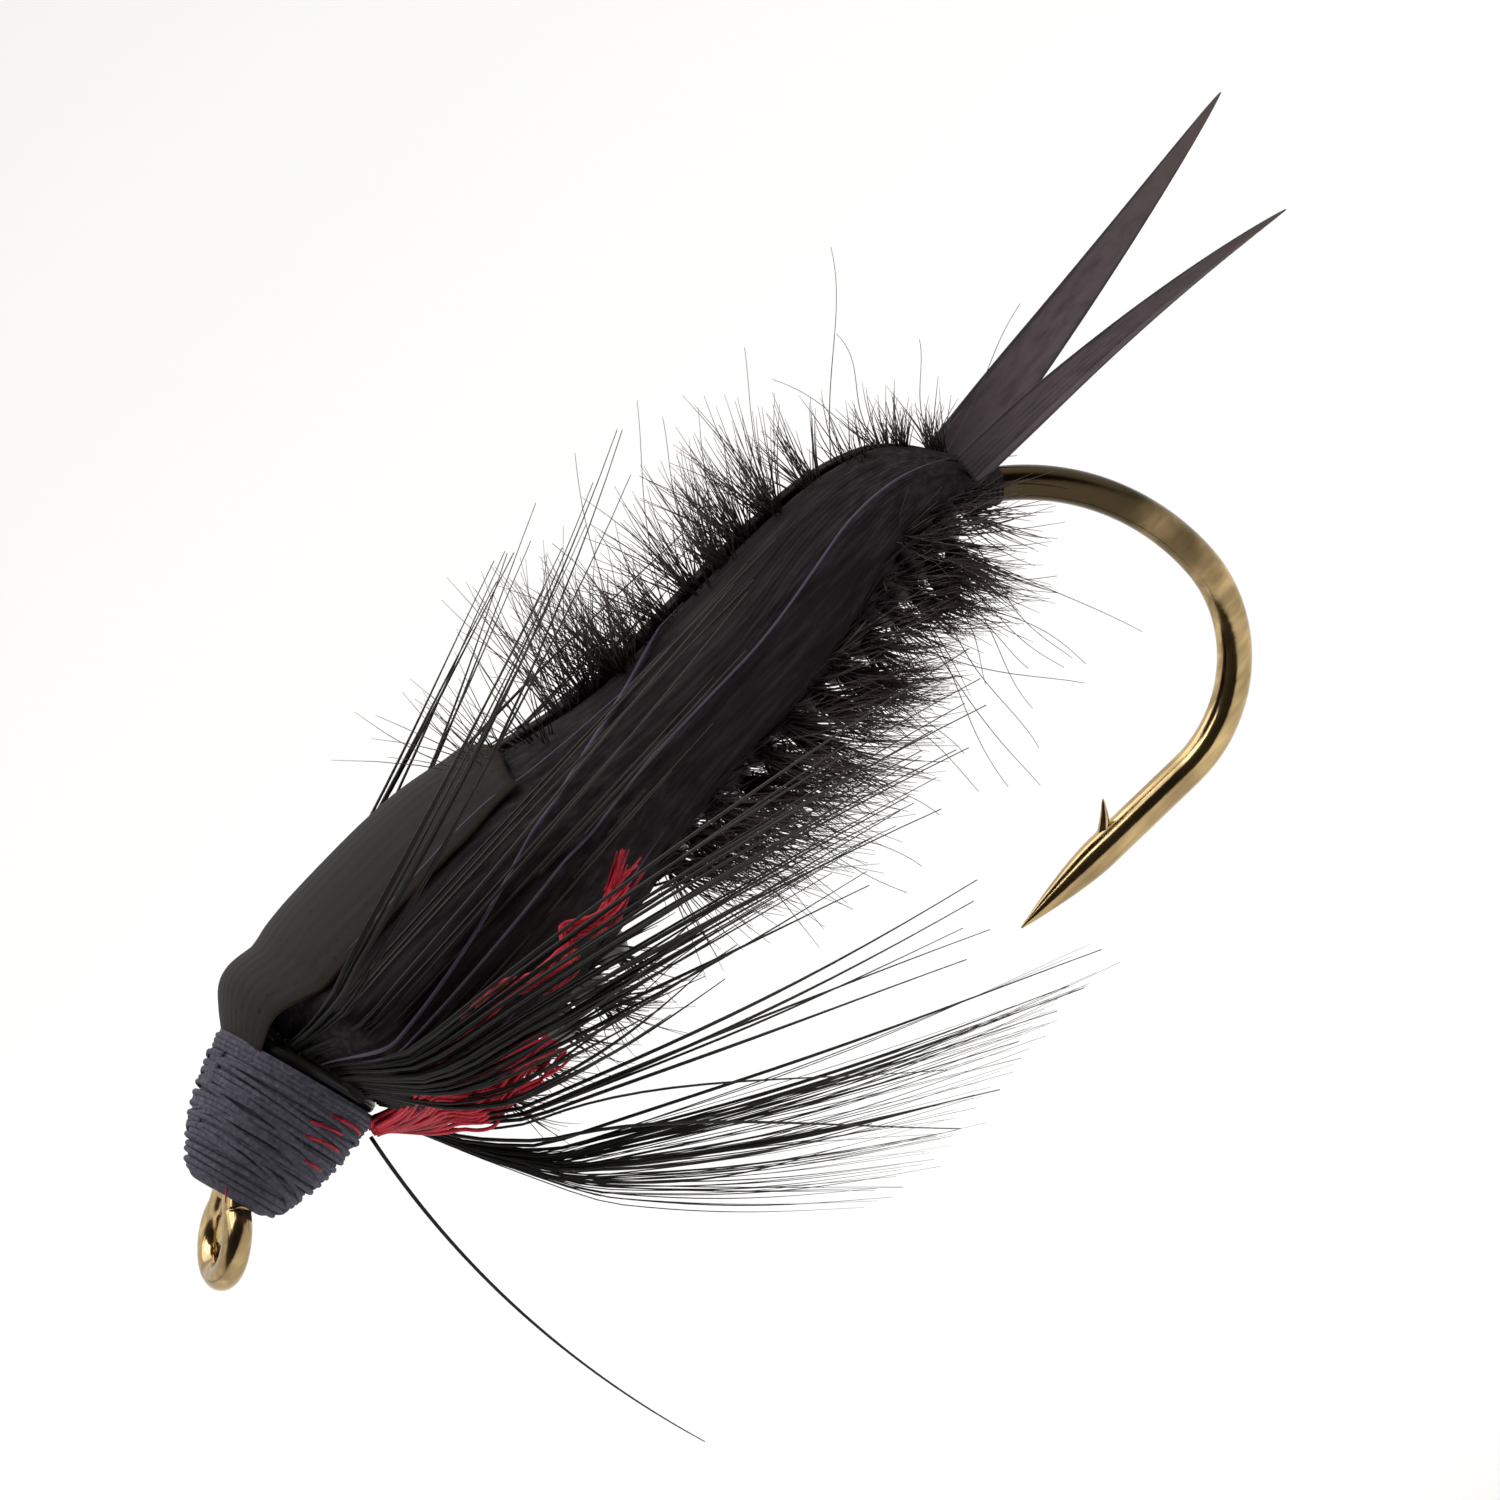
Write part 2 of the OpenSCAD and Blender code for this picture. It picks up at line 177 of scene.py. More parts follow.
def skin(s):
    """Radius of the wound body at a distance s along the hook."""
    front = lerp(BUTT_R, thorax_r(THORAX_START), ease((s - HEAD_REAR[0]) / SHOULDER_L))
    rear = lerp(thorax_r(np.minimum(s, THORAX_END)), abdomen_r(s), waist(s))
    return np.where(s < THORAX_START, front, rear)


def case_r(s):
    """Radius of the wing case: it bulges from under the head's rim on to the thorax."""
    over = np.maximum(skin(np.maximum(s, THORAX_START)), slip_r(s)) + 2 * QUILL_T
    tucked, bulge_l, sunk = 0.55, 2.2, 0.35
    u = np.clip((s - HEAD_REAR[0] + tucked) / bulge_l, 0, 1)
    return lerp(HEAD_REAR_R - sunk, over, 1 - (1 - u) ** 2)


def slip_r(s):
    """Radius under the wing slips, which bridge the waist in a long smooth slope."""
    bridge = ease((s - BRIDGE_START) / BRIDGE_L)
    return lerp(skin(np.minimum(s, BRIDGE_START)), abdomen_r(s), bridge) + GAP


def turned(s):
    """Angle that the wire has turned at a distance s along it."""
    return np.maximum(0, s - SHANK_L) / UPPER_BEND_R


def outward(s):
    """Unit vector from the bend's centre, which is straight up along the shank."""
    return plane_vector(np.sin(turned(s)), np.cos(turned(s)))


def rearward(s):
    """Unit vector along the wire."""
    return plane_vector(np.cos(turned(s)), -np.sin(turned(s)))


def wire_point(s):
    """Middle of the wire: along the shank, then round the upper bend."""
    on_shank = plane_vector(s, np.full_like(s, SHANK_Z))
    on_bend = plane_vector(np.full_like(s, SHANK_L), np.full_like(s, BEND_Z))
    on_bend = on_bend + UPPER_BEND_R * outward(s)
    return np.where((s < SHANK_L)[..., None], on_shank, on_bend)


def axis_lift(s):
    """Height of the body's axis above the wire: most at the head, some in the thorax."""
    return neck_lift(s) + THORAX_LIFT * (1 - waist(s))


def radial(s, angle):
    """Unit vector out of the body at an angle from the back, positive to the left."""
    return spoke(angle, outward(s))


def round_body(s, r, angle):
    """Point at a radius and an angle about the body's axis at a distance s."""
    s, r, angle = spread(s, r, angle)
    axis = wire_point(s) + axis_lift(s)[..., None] * outward(s)
    return axis + r[..., None] * radial(s, angle)


def round_straight(s, r, angle):
    """Point about a straight line over the shank, which rises only towards the head."""
    s, r, angle = spread(s, r, angle)
    lift = THORAX_LIFT + neck_lift(s)
    return plane_vector(s, SHANK_Z + lift) + r[..., None] * spoke(angle, UP)


def head_r(t):
    """Radius of the head at a distance t from its front: it grows with the root of t."""
    return lerp(HEAD_FRONT_R, HEAD_REAR_R, np.sqrt(np.clip(t / HEAD_L, 0, 1)))


def round_head(t, r, angle):
    """Point at a distance t along the head's axis, at a radius and an angle round it."""
    t, r, angle = spread(t, r, angle)
    return HEAD_START + t[..., None] * HEAD_AXIS + r[..., None] * spoke(angle, HEAD_UP)


def round_wire(s, r, angle):
    """Point at a radius and an angle about the wire itself."""
    return wire_point(s) + r[..., None] * radial(s, angle)


def core_r(radius, t):
    """Radius of a yarn core: a half sine swells it between its two thinner ends."""
    thin = 0.68
    return radius * (thin + (1 - thin) * np.sin(math.pi * np.clip(t, 0, 1)))


def wound_r(s):
    """Radius on which the herl is wound: just over the cores, then just over the wire."""
    clear = 0.1
    thorax = core_r(THORAX_CORE_R, (s - THORAX_START) / (THORAX_END - THORAX_START))
    abdomen = core_r(ABDOMEN_CORE_R, (s - THORAX_END) / (SHANK_L - THORAX_END))
    end = lerp(core_r(ABDOMEN_CORE_R, 1.0) + clear, BASE_R + clear / 2,
               ease((s - SHANK_L) / 2))
    core = np.where(s < THORAX_END, thorax, abdomen) + clear
    return np.where(s < SHANK_L, core, end)


def slip_edge(s):
    """Angle from the back to the lower edge of a wing slip, which narrows rearwards."""
    narrowed, narrows_from, narrows_over = 0.3, 15, 6
    return SLIP_REACH * (1 - narrowed * ease((s - narrows_from) / narrows_over))


# ---------------------------------------------------------------- mesh making

class Shape:
    """Points, faces and point marks that are gathered into one mesh."""

    MARKS = ("along", "across", "own")

    def __init__(self):
        self.points = []
        self.faces = []
        self.marks = {name: [] for name in self.MARKS}
        self.count = 0

    def add(self, points, faces, **marks):
        """Adds points in millimetres with their faces, turned out, and their marks."""
        flat = np.asarray(points, float).reshape(-1, 3)
        if inside_out(flat, faces):
            faces = [group[:, ::-1] for group in faces]
        self.points.append(flat)
        self.faces += [group + self.count for group in faces]
        for name in self.MARKS:
            value = np.asarray(marks.get(name, 0.0), float)
            self.marks[name].append(np.broadcast_to(value, np.shape(points)[:-1]).ravel())
        self.count += len(flat)

    def piece(self, name, slot, *nodes):
        """Mesh object that rides on the fly, takes a slot's finish and replaces nodes."""
        mesh = bpy.data.meshes.new(name)
        points = np.concatenate(self.points) * MM
        corners = np.concatenate([group.ravel() for group in self.faces])
        sizes = np.concatenate([np.full(len(group), group.shape[1]) for group in self.faces])
        mesh.vertices.add(len(points))
        mesh.vertices.foreach_set("co", points.astype(np.float32).ravel())
        mesh.loops.add(len(corners))
        mesh.loops.foreach_set("vertex_index", corners.astype(np.int32))
        mesh.polygons.add(len(sizes))
        starts = np.concatenate([[0], np.cumsum(sizes)[:-1]])
        mesh.polygons.foreach_set("loop_start", starts.astype(np.int32))
        mesh.update(calc_edges=True)
        mesh.shade_smooth()
        for mark, values in self.marks.items():
            layer = mesh.attributes.new(mark, "FLOAT", "POINT")
            layer.data.foreach_set("value", np.concatenate(values).astype(np.float32))
        made = bpy.data.objects.new(name, mesh)
        bpy.context.scene.collection.objects.link(made)
        made.data.materials.append(finish(slot))
        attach(made, "root")
        if nodes:
            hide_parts(*nodes)


def inside_out(points, faces):
    """Whether the signed volume under the faces, as fans of triangles, is negative."""
    volume = 0.0
    for group in faces:
        for k in range(1, group.shape[1] - 1):
            a, b, c = (points[group[:, i]] for i in (0, k, k + 1))
            volume += np.einsum("ij,ij->i", a, np.cross(b, c)).sum()
    return volume < 0


def ring_faces(strips, rings, sides):
    """Faces of strips of closed rings: quads along each, and one face over each end."""
    base = np.arange(strips)[:, None, None] * rings * sides
    i = np.arange(rings - 1)[None, :, None] * sides
    j = np.arange(sides)[None, None, :]
    after = (j + 1) % sides
    quads = np.stack([base + i + j, base + i + after,
                      base + i + sides + after, base + i + sides + j], axis=-1)
    ends = np.arange(strips)[:, None] * rings * sides
    front = ends + np.arange(sides)[::-1]
    rear = ends + (rings - 1) * sides + np.arange(sides)
    return [quads.reshape(-1, 4), front, rear]


def tubes(paths, radii, reference, sides):
    """Round tubes: about each path's tangent stands a circle, turned to the reference."""
    tangent = unit(np.gradient(paths, axis=1))
    reference = np.broadcast_to(reference, paths.shape)
    side = unit(reference - np.sum(reference * tangent, -1, keepdims=True) * tangent)
    top = np.cross(tangent, side)
    phi = np.arange(sides) * FULL_TURN / sides
    circle = (np.cos(phi)[:, None] * side[:, :, None, :]
              + np.sin(phi)[:, None] * top[:, :, None, :])
    radii = np.broadcast_to(radii, paths.shape[:2])
    return paths[:, :, None, :] + radii[:, :, None, None] * circle


def add_tubes(shape, paths, radii, reference, sides, own=0.0, across=0.0):
    """Adds round tubes whose along mark runs from 0 to 1 and whose own mark is given."""
    count, rings = paths.shape[:2]
    points = tubes(paths, radii, reference, sides)
    shape.add(points, ring_faces(count, rings, sides), across=across,
              along=np.linspace(0, 1, rings)[None, :, None],
              own=np.reshape(own, (-1, 1, 1)))


def add_tube(shape, path, radii, reference, sides, own=0.0):
    """Adds one round tube along a path."""
    add_tubes(shape, path[None], np.asarray(radii)[None], reference, sides, own)


def add_sheet(shape, top, under, **marks):
    """Adds a closed thin sheet: two grids of points, and a wall along their border."""
    rows, columns = top.shape[:2]
    rings = np.concatenate([top, under[:, ::-1]], axis=1)
    grids = {name: np.broadcast_to(value, (rows, columns)) for name, value in marks.items()}
    marks = {name: np.concatenate([grid, grid[:, ::-1]], axis=1)
             for name, grid in grids.items()}
    sides = 2 * columns
    faces = ring_faces(1, rows, sides)[:1]
    k = np.arange(columns - 1)
    front = np.stack([k + 1, k, sides - 1 - k, sides - 2 - k], axis=-1)
    shape.add(rings, faces + [front, front[:, ::-1] + (rows - 1) * sides], **marks)


def add_sleeve(shape, profile_s, profile_r, place, ridges, pitch, segments=48):
    """Adds a wound sleeve: a closed profile carried round, with ridges on a helix."""
    phi = np.arange(segments) * FULL_TURN / segments
    s = np.broadcast_to(profile_s[:, None], (len(profile_s), segments))
    swell = ridges[:, None] * np.abs(np.sin(math.pi * s / pitch - phi / 2))
    points = place(s, profile_r[:, None] + swell, np.broadcast_to(phi, s.shape))
    i = np.arange(len(profile_s))[:, None]
    j = np.arange(segments)[None, :]
    i_after = (i + 1) % len(profile_s)
    j_after = (j + 1) % segments
    quads = np.stack([i * segments + j, i * segments + j_after,
                      i_after * segments + j_after, i_after * segments + j], axis=-1)
    along = (s - s.min()) / (s.max() - s.min())
    shape.add(points, [quads.reshape(-1, 4)], along=along, across=phi / FULL_TURN)


# ---------------------------------------------------------------- shader maths

class Signal:
    """A shader socket on which arithmetic adds Math nodes."""

    def __init__(self, graph, socket):
        self.graph = graph
        self.socket = socket

    def maths(self, operation, *values):
        """Result of one Math operation on these values."""
        return self.graph.node("ShaderNodeMath", {"operation": operation},
                               dict(enumerate(values)))

    def __add__(self, other):
        return self.maths("ADD", self, other)

    __radd__ = __add__

    def __sub__(self, other):
        return self.maths("SUBTRACT", self, other)

    def __rsub__(self, other):
        return self.maths("SUBTRACT", other, self)

    def __mul__(self, other):
        return self.maths("MULTIPLY", self, other)

    __rmul__ = __mul__

    def __abs__(self):
        return self.maths("ABSOLUTE", self)


class Graph:
    """The node tree of a material or of the world, and the method that adds its nodes."""

    def __init__(self, owner):
        self.owner = owner
        owner.use_nodes = True
        self.tree = owner.node_tree
        self.tree.nodes.clear()

    def node(self, kind, settings=None, inputs=None, output=0):
        """Adds a node: its settings first, then the values or links of its sockets."""
        made = self.tree.nodes.new(kind)
        for name, value in (settings or {}).items():
            if name == "stops":
                set_stops(made.color_ramp, value)
            else:
                setattr(made, name, value)
        for key, value in (inputs or {}).items():
            if isinstance(value, Signal):
                self.tree.links.new(value.socket, made.inputs[key])
            else:
                made.inputs[key].default_value = value
        return None if output is None else Signal(self, made.outputs[output])

    def ramp(self, value, *stops):
        """Colour read off a ramp of (position, colour) stops."""
        return self.node("ShaderNodeValToRGB", {"stops": stops}, {"Fac": value})


class Finish(Graph):
    """One material and the signals that its kinds of surface are made of."""

    def __init__(self, name):
        super().__init__(bpy.data.materials.new(name))

    def mark(self, name):
        """Value of one of the piece's point marks."""
        return self.node("ShaderNodeAttribute", {"attribute_name": name}, output="Fac")

    def place(self, scale=(1, 1, 1)):
        """Position in the fly's frame in millimetres, stretched along its axes."""
        where = self.node("ShaderNodeTexCoord", output="Object")
        return self.node("ShaderNodeMapping", inputs={
            "Vector": where, "Scale": tuple(part / MM for part in scale)})

    def noise(self, scale, detail=3.0, stretch=(1, 1, 1)):
        """Noise from 0 to 1 with a number of lumps in a millimetre."""
        return self.node("ShaderNodeTexNoise", inputs={
            "Vector": self.place(stretch), "Scale": scale, "Detail": detail})

    def distance(self, axis):
        """Distance along one axis of the fly's frame in millimetres."""
        return self.node("ShaderNodeSeparateXYZ", inputs={"Vector": self.place()},
                         output=axis)

    def shades(self, value, colour, *stops):
        """A colour at shares of itself, read off a ramp of (position, share) stops."""
        return self.ramp(value, *((at, shaded(colour, share)) for at, share in stops))

    def blend(self, share, first, second):
        """Colour a share of the way from the first to the second."""
        return self.node("ShaderNodeMix", {"data_type": "RGBA"},
                         {0: share, 6: first, 7: second}, output=2)

    def between(self, value, low, high):
        """Value from 0 to 1 clamped and stretched on to a range."""
        return self.node("ShaderNodeMapRange", {"clamp": True},
                         {"Value": value, "To Min": low, "To Max": high})

    def stepped(self, value, low, high):
        """Smooth step of a value from 0 at low to 1 at high."""
        return self.node("ShaderNodeMapRange", {"interpolation_type": "SMOOTHSTEP"},
                         {"Value": value, "From Min": low, "From Max": high})

    def larger(self, first, second):
        """The larger of two values."""
        return first.maths("MAXIMUM", first, second)

    def bump(self, height, depth):
        """Normal over relief whose height runs to a depth in millimetres."""
        return self.node("ShaderNodeBump", inputs={
            "Height": height, "Strength": 1.0, "Distance": depth * MM})

    def close(self, **sockets):
        """Ends the material in a Principled shader with these sockets."""
        named = {name.replace("_", " ").title().replace("Ior", "IOR"): value
                 for name, value in sockets.items()}
        shader = self.node("ShaderNodeBsdfPrincipled", inputs=named)
        self.node("ShaderNodeOutputMaterial", inputs={"Surface": shader}, output=None)
        return self.owner


def set_stops(ramp, stops):
    """Gives a colour ramp its (position, colour) stops."""
    while len(ramp.elements) < len(stops):
        ramp.elements.new(1.0)
    for element, (position, colour) in zip(ramp.elements, stops):
        element.position = position
        element.color = colour



def shaded(colour, share=1.0):
    """Colour darkened or lightened to a share of itself, with an alpha of 1."""
    return tuple(min(1.0, part * share) for part in colour[:3]) + (1.0,)


# ---------------------------------------------------------------- settings

def colour_prop(name, description, default):
    """Colour property with linear components."""
    return FloatVectorProperty(name=name, description=description, default=default,
                               subtype="COLOR", size=3, min=0.0, max=1.0)


def size_prop(name, description, default):
    """Size property in millimetres."""
    return FloatProperty(name=name, description=description, default=default, min=0.0)


class FlyColours(bpy.types.PropertyGroup):
    """Colours of the fly's materials."""
    bronze: colour_prop("Bronze", "Lacquered wire of the hook", (0.60, 0.43, 0.21))
    slate: colour_prop("Slate thread", "Tying thread of the head", (0.082, 0.080, 0.102))
    crimson: colour_prop("Crimson", "Throat floss and base thread", (0.55, 0.030, 0.052))
    herl: colour_prop("Herl", "Flues of the wound herl", (0.020, 0.0150, 0.0145))
    # Painted backlight at the thin ends of the flues
    herl_tip: colour_prop("Herl tip", "Thin ends of the flues", (0.095, 0.066, 0.058))
    quill: colour_prop("Quill", "Wing slips over the body", (0.0230, 0.0185, 0.0200))
    olive: colour_prop("Olive", "Wing case over the thorax", (0.028, 0.026, 0.024))
    purple: colour_prop("Purple", "Biots of the tail", (0.118, 0.093, 0.105))
    hackle: colour_prop("Hackle", "Barbs of the hackle", (0.0130, 0.0122, 0.0108))


class HeadSettings(bpy.types.PropertyGroup):
    """Sizes of the thread head."""
    thread_d: size_prop("Thread", "Diameter of the tying thread in millimetres", 0.13)
    pitch: size_prop("Pitch", "Distance between the turns in millimetres", 0.105)
    crossings: IntProperty(name="Crossings", description="Slanted turns over the wraps",
                           default=14, min=0, max=40)


class HerlSettings(bpy.types.PropertyGroup):
    """Sizes of the flues on the wound herl."""
    back_length: size_prop("Back flues", "Longest flues of the back in millimetres", 2.4)
    belly_length: size_prop("Belly flues", "Longest flues of the belly in millimetres", 2.6)
    root_d: size_prop("Flue", "Diameter of a flue at its root in millimetres", 0.038)
    tufts: IntProperty(name="Tufts", description="Tufts of flues on each strand of herl",
                       default=280, min=10, max=4000)
    seed: IntProperty(name="Seed", description="Chooses the lie of the flues", default=7)


class QuillSettings(bpy.types.PropertyGroup):
    """Relief of the quill strips."""
    ridges: IntProperty(name="Ridges", description="Fibres side by side in a wing slip",
                        default=30, min=4, max=80)
    relief: size_prop("Relief", "Height of a fibre above its edges in millimetres", 0.012)


class HackleSettings(bpy.types.PropertyGroup):
    """Sizes of the hackle."""
    barb_d: size_prop("Barb", "Diameter of a barb at its root in millimetres", 0.1)
    seed: IntProperty(name="Seed", description="Chooses the lie of the barbs", default=11)


class StageSettings(bpy.types.PropertyGroup):
    """Floor, lamps and camera."""
    floor_drop: size_prop("Floor", "Depth of the floor under the eye in millimetres", 30.0)
    distance: size_prop("Distance", "From the lens to the fly in millimetres", 200.0)
    azimuth: FloatProperty(name="Azimuth", description="Direction of the camera",
                           default=math.radians(-10), subtype="ANGLE")
    elevation: FloatProperty(name="Elevation", description="Height of the camera",
                             default=math.radians(20), subtype="ANGLE")
    roll: FloatProperty(name="Roll", description="Turn of the camera about its view",
                        default=math.radians(42.8), subtype="ANGLE")


# ---------------------------------------------------------------- materials

# Colours of small parts: stem lines in a painted violet sheen, cut edges, a painted sheen at
# the ends of the biots, and painted backlight at the ends of the barbs
VIOLET_PAINTED_SHEEN = (0.100, 0.085, 0.120)
CUT_BROWN = (0.026, 0.017, 0.011)
BIOT_TIP_PAINTED_SHEEN = (0.135, 0.105, 0.100)
BARB_TIP_PAINTED_BACKLIGHT = (0.070, 0.066, 0.050)


def bronze_wire(colours):
    """Bronzed wire under lacquer, gold at the eye and the spear, with brown streaks and darker
    patches, and a painted dark reflection along the shank and the top of the bend."""
    f = Finish("bronze_wire")
    streaks = f.noise(0.9, 4, (0.5, 6, 6))
    patches = f.stepped(f.noise(0.5, 2), 0.40, 0.62)
    gold = f.shades(streaks, colours.bronze, (0.3, 0.7), (0.55, 1.0), (0.8, 1.5))
    # Painted dark reflection: past the eye, the shank and the top of the bend blend to a dark
    # bronze; the random patches roughen its edge and darken the gold a little too
    high = f.stepped(f.distance("Z") + patches * 1.2, -6.0, -2.5)
    clear_of_painted_dark = 1.0 - high * f.stepped(f.distance("X"), 0.5, 2.0)
    colour = f.blend(clear_of_painted_dark * (1.0 - patches * 0.4), shaded(colours.bronze, 0.1), gold)
    return f.close(base_color=colour, metallic=1.0,
                   roughness=f.between(f.noise(2.5, 3), 0.08, 0.2),
                   normal=f.bump(f.noise(7.0, 3, (0.4, 1, 1)), 0.003))


def thread(name, colour, lightest):
    """Twisted thread: fine fibres run aslant along it, and the lighter ones, scattered at
    random, are a painted highlight.
    """
    f = Finish(name)
    fibres = f.noise(9.0, 4, (1.0, 1.2, 1.2))
    # The lightest stop paints the highlight in lighter fibres scattered at random
    shade = f.shades(fibres, colour, (0.25, 0.55), (0.5, 1.0), (0.75, lightest))
    patch = f.stepped(f.noise(0.9, 2), 0.45, 0.7)
    shade = f.blend(patch * 0.35, shade, shaded(colour, 0.6))
    return f.close(base_color=shade, roughness=f.between(fibres, 0.65, 0.9),
                   specular_ior_level=0.08, normal=f.bump(fibres, 0.02))


def slate_thread(colours):
    """Slate tying thread of the head."""
    return thread("slate_thread", colours.slate, 1.5)


def black_thread(colours):
    """Black thread over the tail butts."""
    return thread("black_thread", colours.quill, 1.8)


def red_thread(colours):
    """Crimson floss, with darker streaks at random that are painted shade for the gaps between
    its filaments, and paler fibres.
    """
    f = Finish("red_thread")
    fibres = f.noise(6.0, 3, (0.25, 2, 2))
    # Painted shade: the darkest stop darkens random streaks as the gaps between the filaments
    shade = f.shades(fibres * 0.6 + f.mark("own") * 0.4, colours.crimson,
                     (0.2, 0.3), (0.5, 1.0), (0.85, 1.5))
    return f.close(base_color=shade, roughness=f.between(fibres, 0.4, 0.65),
                   specular_ior_level=0.15, normal=f.bump(fibres, 0.01))


def dark_yarn(colours):
    """Dark wool yarn under the herl."""
    return thread("dark_yarn", colours.herl, 1.9)


def dark_herl(colours):
    """Herl flues: near black at the root, and reddish brown where they thin out, a painted
    backlight.
    """
    f = Finish("dark_herl")
    own = f.mark("own")
    base = f.shades(own, colours.herl, (0.0, 0.55), (0.6, 1.0), (1.0, 1.9))
    # Painted backlight: the flues turn a paler reddish brown towards their thin ends
    shade = f.blend(f.stepped(f.mark("along"), 0.25, 1.0), base, shaded(colours.herl_tip))
    return f.close(base_color=shade, roughness=f.between(own, 0.35, 0.5),
                   specular_ior_level=0.3)


def black_quill(colours):
    """Matte black quill fibres with grey and violet stem lines, the violet a painted sheen;
    own marks the lines.
    """
    f = Finish("black_quill")
    fibres = f.noise(3.5, 4, (0.22, 2.2, 2.2))
    shade = f.shades(fibres, colours.quill, (0.3, 0.5), (0.5, 1.0), (0.8, 2.2))
    upper = 1.0 - f.stepped(f.mark("across"), 0.02, 0.2)
    rear = f.stepped(f.mark("along"), 0.42, 0.6)
    shade = f.blend(upper * rear * 0.8, shade, shaded(colours.olive, 0.75))
    # Painted sheen: the stem lines, marked by own, take a violet colour
    shade = f.blend(f.mark("own"), shade, shaded(VIOLET_PAINTED_SHEEN))
    return f.close(base_color=shade, roughness=f.between(fibres, 0.6, 0.85),
                   specular_ior_level=0.07, normal=f.bump(fibres, 0.012))


def olive_case(colours):
    """Smooth olive quill: faint lengthwise grain, tiny specks and thin brown edges."""
    f = Finish("olive_case")
    grain = f.noise(3.0, 3, (0.2, 2.4, 2.4))
    shade = f.shades(grain, colours.olive, (0.3, 0.85), (0.7, 1.12))
    specks = f.stepped(f.noise(6.5, 1), 0.69, 0.74)
    shade = f.blend(specks * 0.5, shade, shaded(colours.olive, 0.4))
    side = f.stepped(abs(f.mark("across") - 0.5), 0.44, 0.495)
    end = f.stepped(f.mark("along"), 0.955, 0.99)
    shade = f.blend(f.larger(side, end) * 0.75, shade, shaded(CUT_BROWN))
    return f.close(base_color=shade, roughness=f.between(grain, 0.6, 0.75),
                   specular_ior_level=0.08, normal=f.bump(grain, 0.006))


def purple_biot(colours):
    """Purple-black biot: lengthwise streaks, a soft painted sheen that pales it towards the
    tip, and nearly black margins.
    """
    f = Finish("purple_biot")
    along = f.mark("along")
    streaks = f.noise(2.2, 4, (0.3, 3, 3))
    shade = f.shades(streaks, colours.purple, (0.3, 0.72), (0.5, 1.0), (0.8, 1.3))
    # Painted sheen: the biot pales towards its tip
    shade = f.blend(f.stepped(along, 0.35, 1.0) * 0.8, shade, shaded(BIOT_TIP_PAINTED_SHEEN))
    root = 1.0 - f.stepped(along, 0.0, 0.28)
    shade = f.blend(root * 0.6, shade, shaded(colours.purple, 0.45))
    rim = f.stepped(abs(f.mark("across") - 0.5), 0.38, 0.5)
    shade = f.blend(rim * 0.8, shade, shaded(colours.purple, 0.3))
    return f.close(base_color=shade, roughness=f.between(streaks, 0.5, 0.7),
                   specular_ior_level=0.1, normal=f.bump(streaks, 0.01))


def black_hackle(colours):
    """Glossy olive-black barbs, with painted backlight that pales them towards their tips."""
    f = Finish("black_hackle")
    own = f.mark("own")
    base = f.shades(own, colours.hackle, (0.0, 0.45), (0.7, 1.0), (1.0, 2.2))
    # Painted backlight: the barbs pale towards their thin tips
    shade = f.blend(f.stepped(f.mark("along"), 0.35, 1.1) * 0.8, base, shaded(BARB_TIP_PAINTED_BACKLIGHT))
    return f.close(base_color=shade, roughness=f.between(own, 0.3, 0.5),
                   specular_ior_level=0.2)


FINISHES = {
    "hook_bronze": bronze_wire,
    "thread_slate": slate_thread,
    "thread_black": black_thread,
    "thread_red": red_thread,
    "yarn_dark": dark_yarn,
    "herl": dark_herl,
    "quill_black": black_quill,
    "case_olive": olive_case,
    "biot_purple": purple_biot,
    "hackle_black": black_hackle,
}


def finish(slot):
    """Material of a slot, made the first time that it is asked for."""
    maker = FINISHES[slot]
    return bpy.data.materials.get(maker.__name__) or maker(bpy.context.scene.fly_colours)


# ---------------------------------------------------------------- hook

def wire_path():
    """Middle of the bend and spear: two arcs of one plane, then a straight line."""
    shank = np.linspace(SHANK_START - 0.1, SHANK_L, 24)[:-1]
    upper = np.linspace(0, math.pi / 2, 60)[:-1]
    lower = np.linspace(math.pi / 2, math.pi + SPEAR_RISE, 54)[:-1]
    spear = SPEAR_L * (1 - (1 - np.linspace(0, 1, 60)) ** 1.4)
    end = lower_bend(np.array([math.pi + SPEAR_RISE]))
    ahead = np.array([-math.cos(SPEAR_RISE), 0, math.sin(SPEAR_RISE)])
    return np.concatenate([
        plane_vector(shank, np.full_like(shank, SHANK_Z)),
        wire_point(SHANK_L + upper * UPPER_BEND_R),
        lower_bend(lower),
        end + spear[:, None] * ahead])


def lower_bend(angle):
    """Point of the lower arc at an angle turned from the shank's direction."""
    return plane_vector(LOWER_BEND_X + LOWER_BEND_R * np.sin(angle),
                        BEND_Z + LOWER_BEND_R * np.cos(angle))


def needle_r(behind):
    """Radius at a distance behind the point: a needle that swells and then evens out."""
    tip_r = 0.02
    t = np.clip(behind / POINT_L, 0, 1)
    return lerp(tip_r, WIRE_R, 1 - (1 - t) ** 1.5)


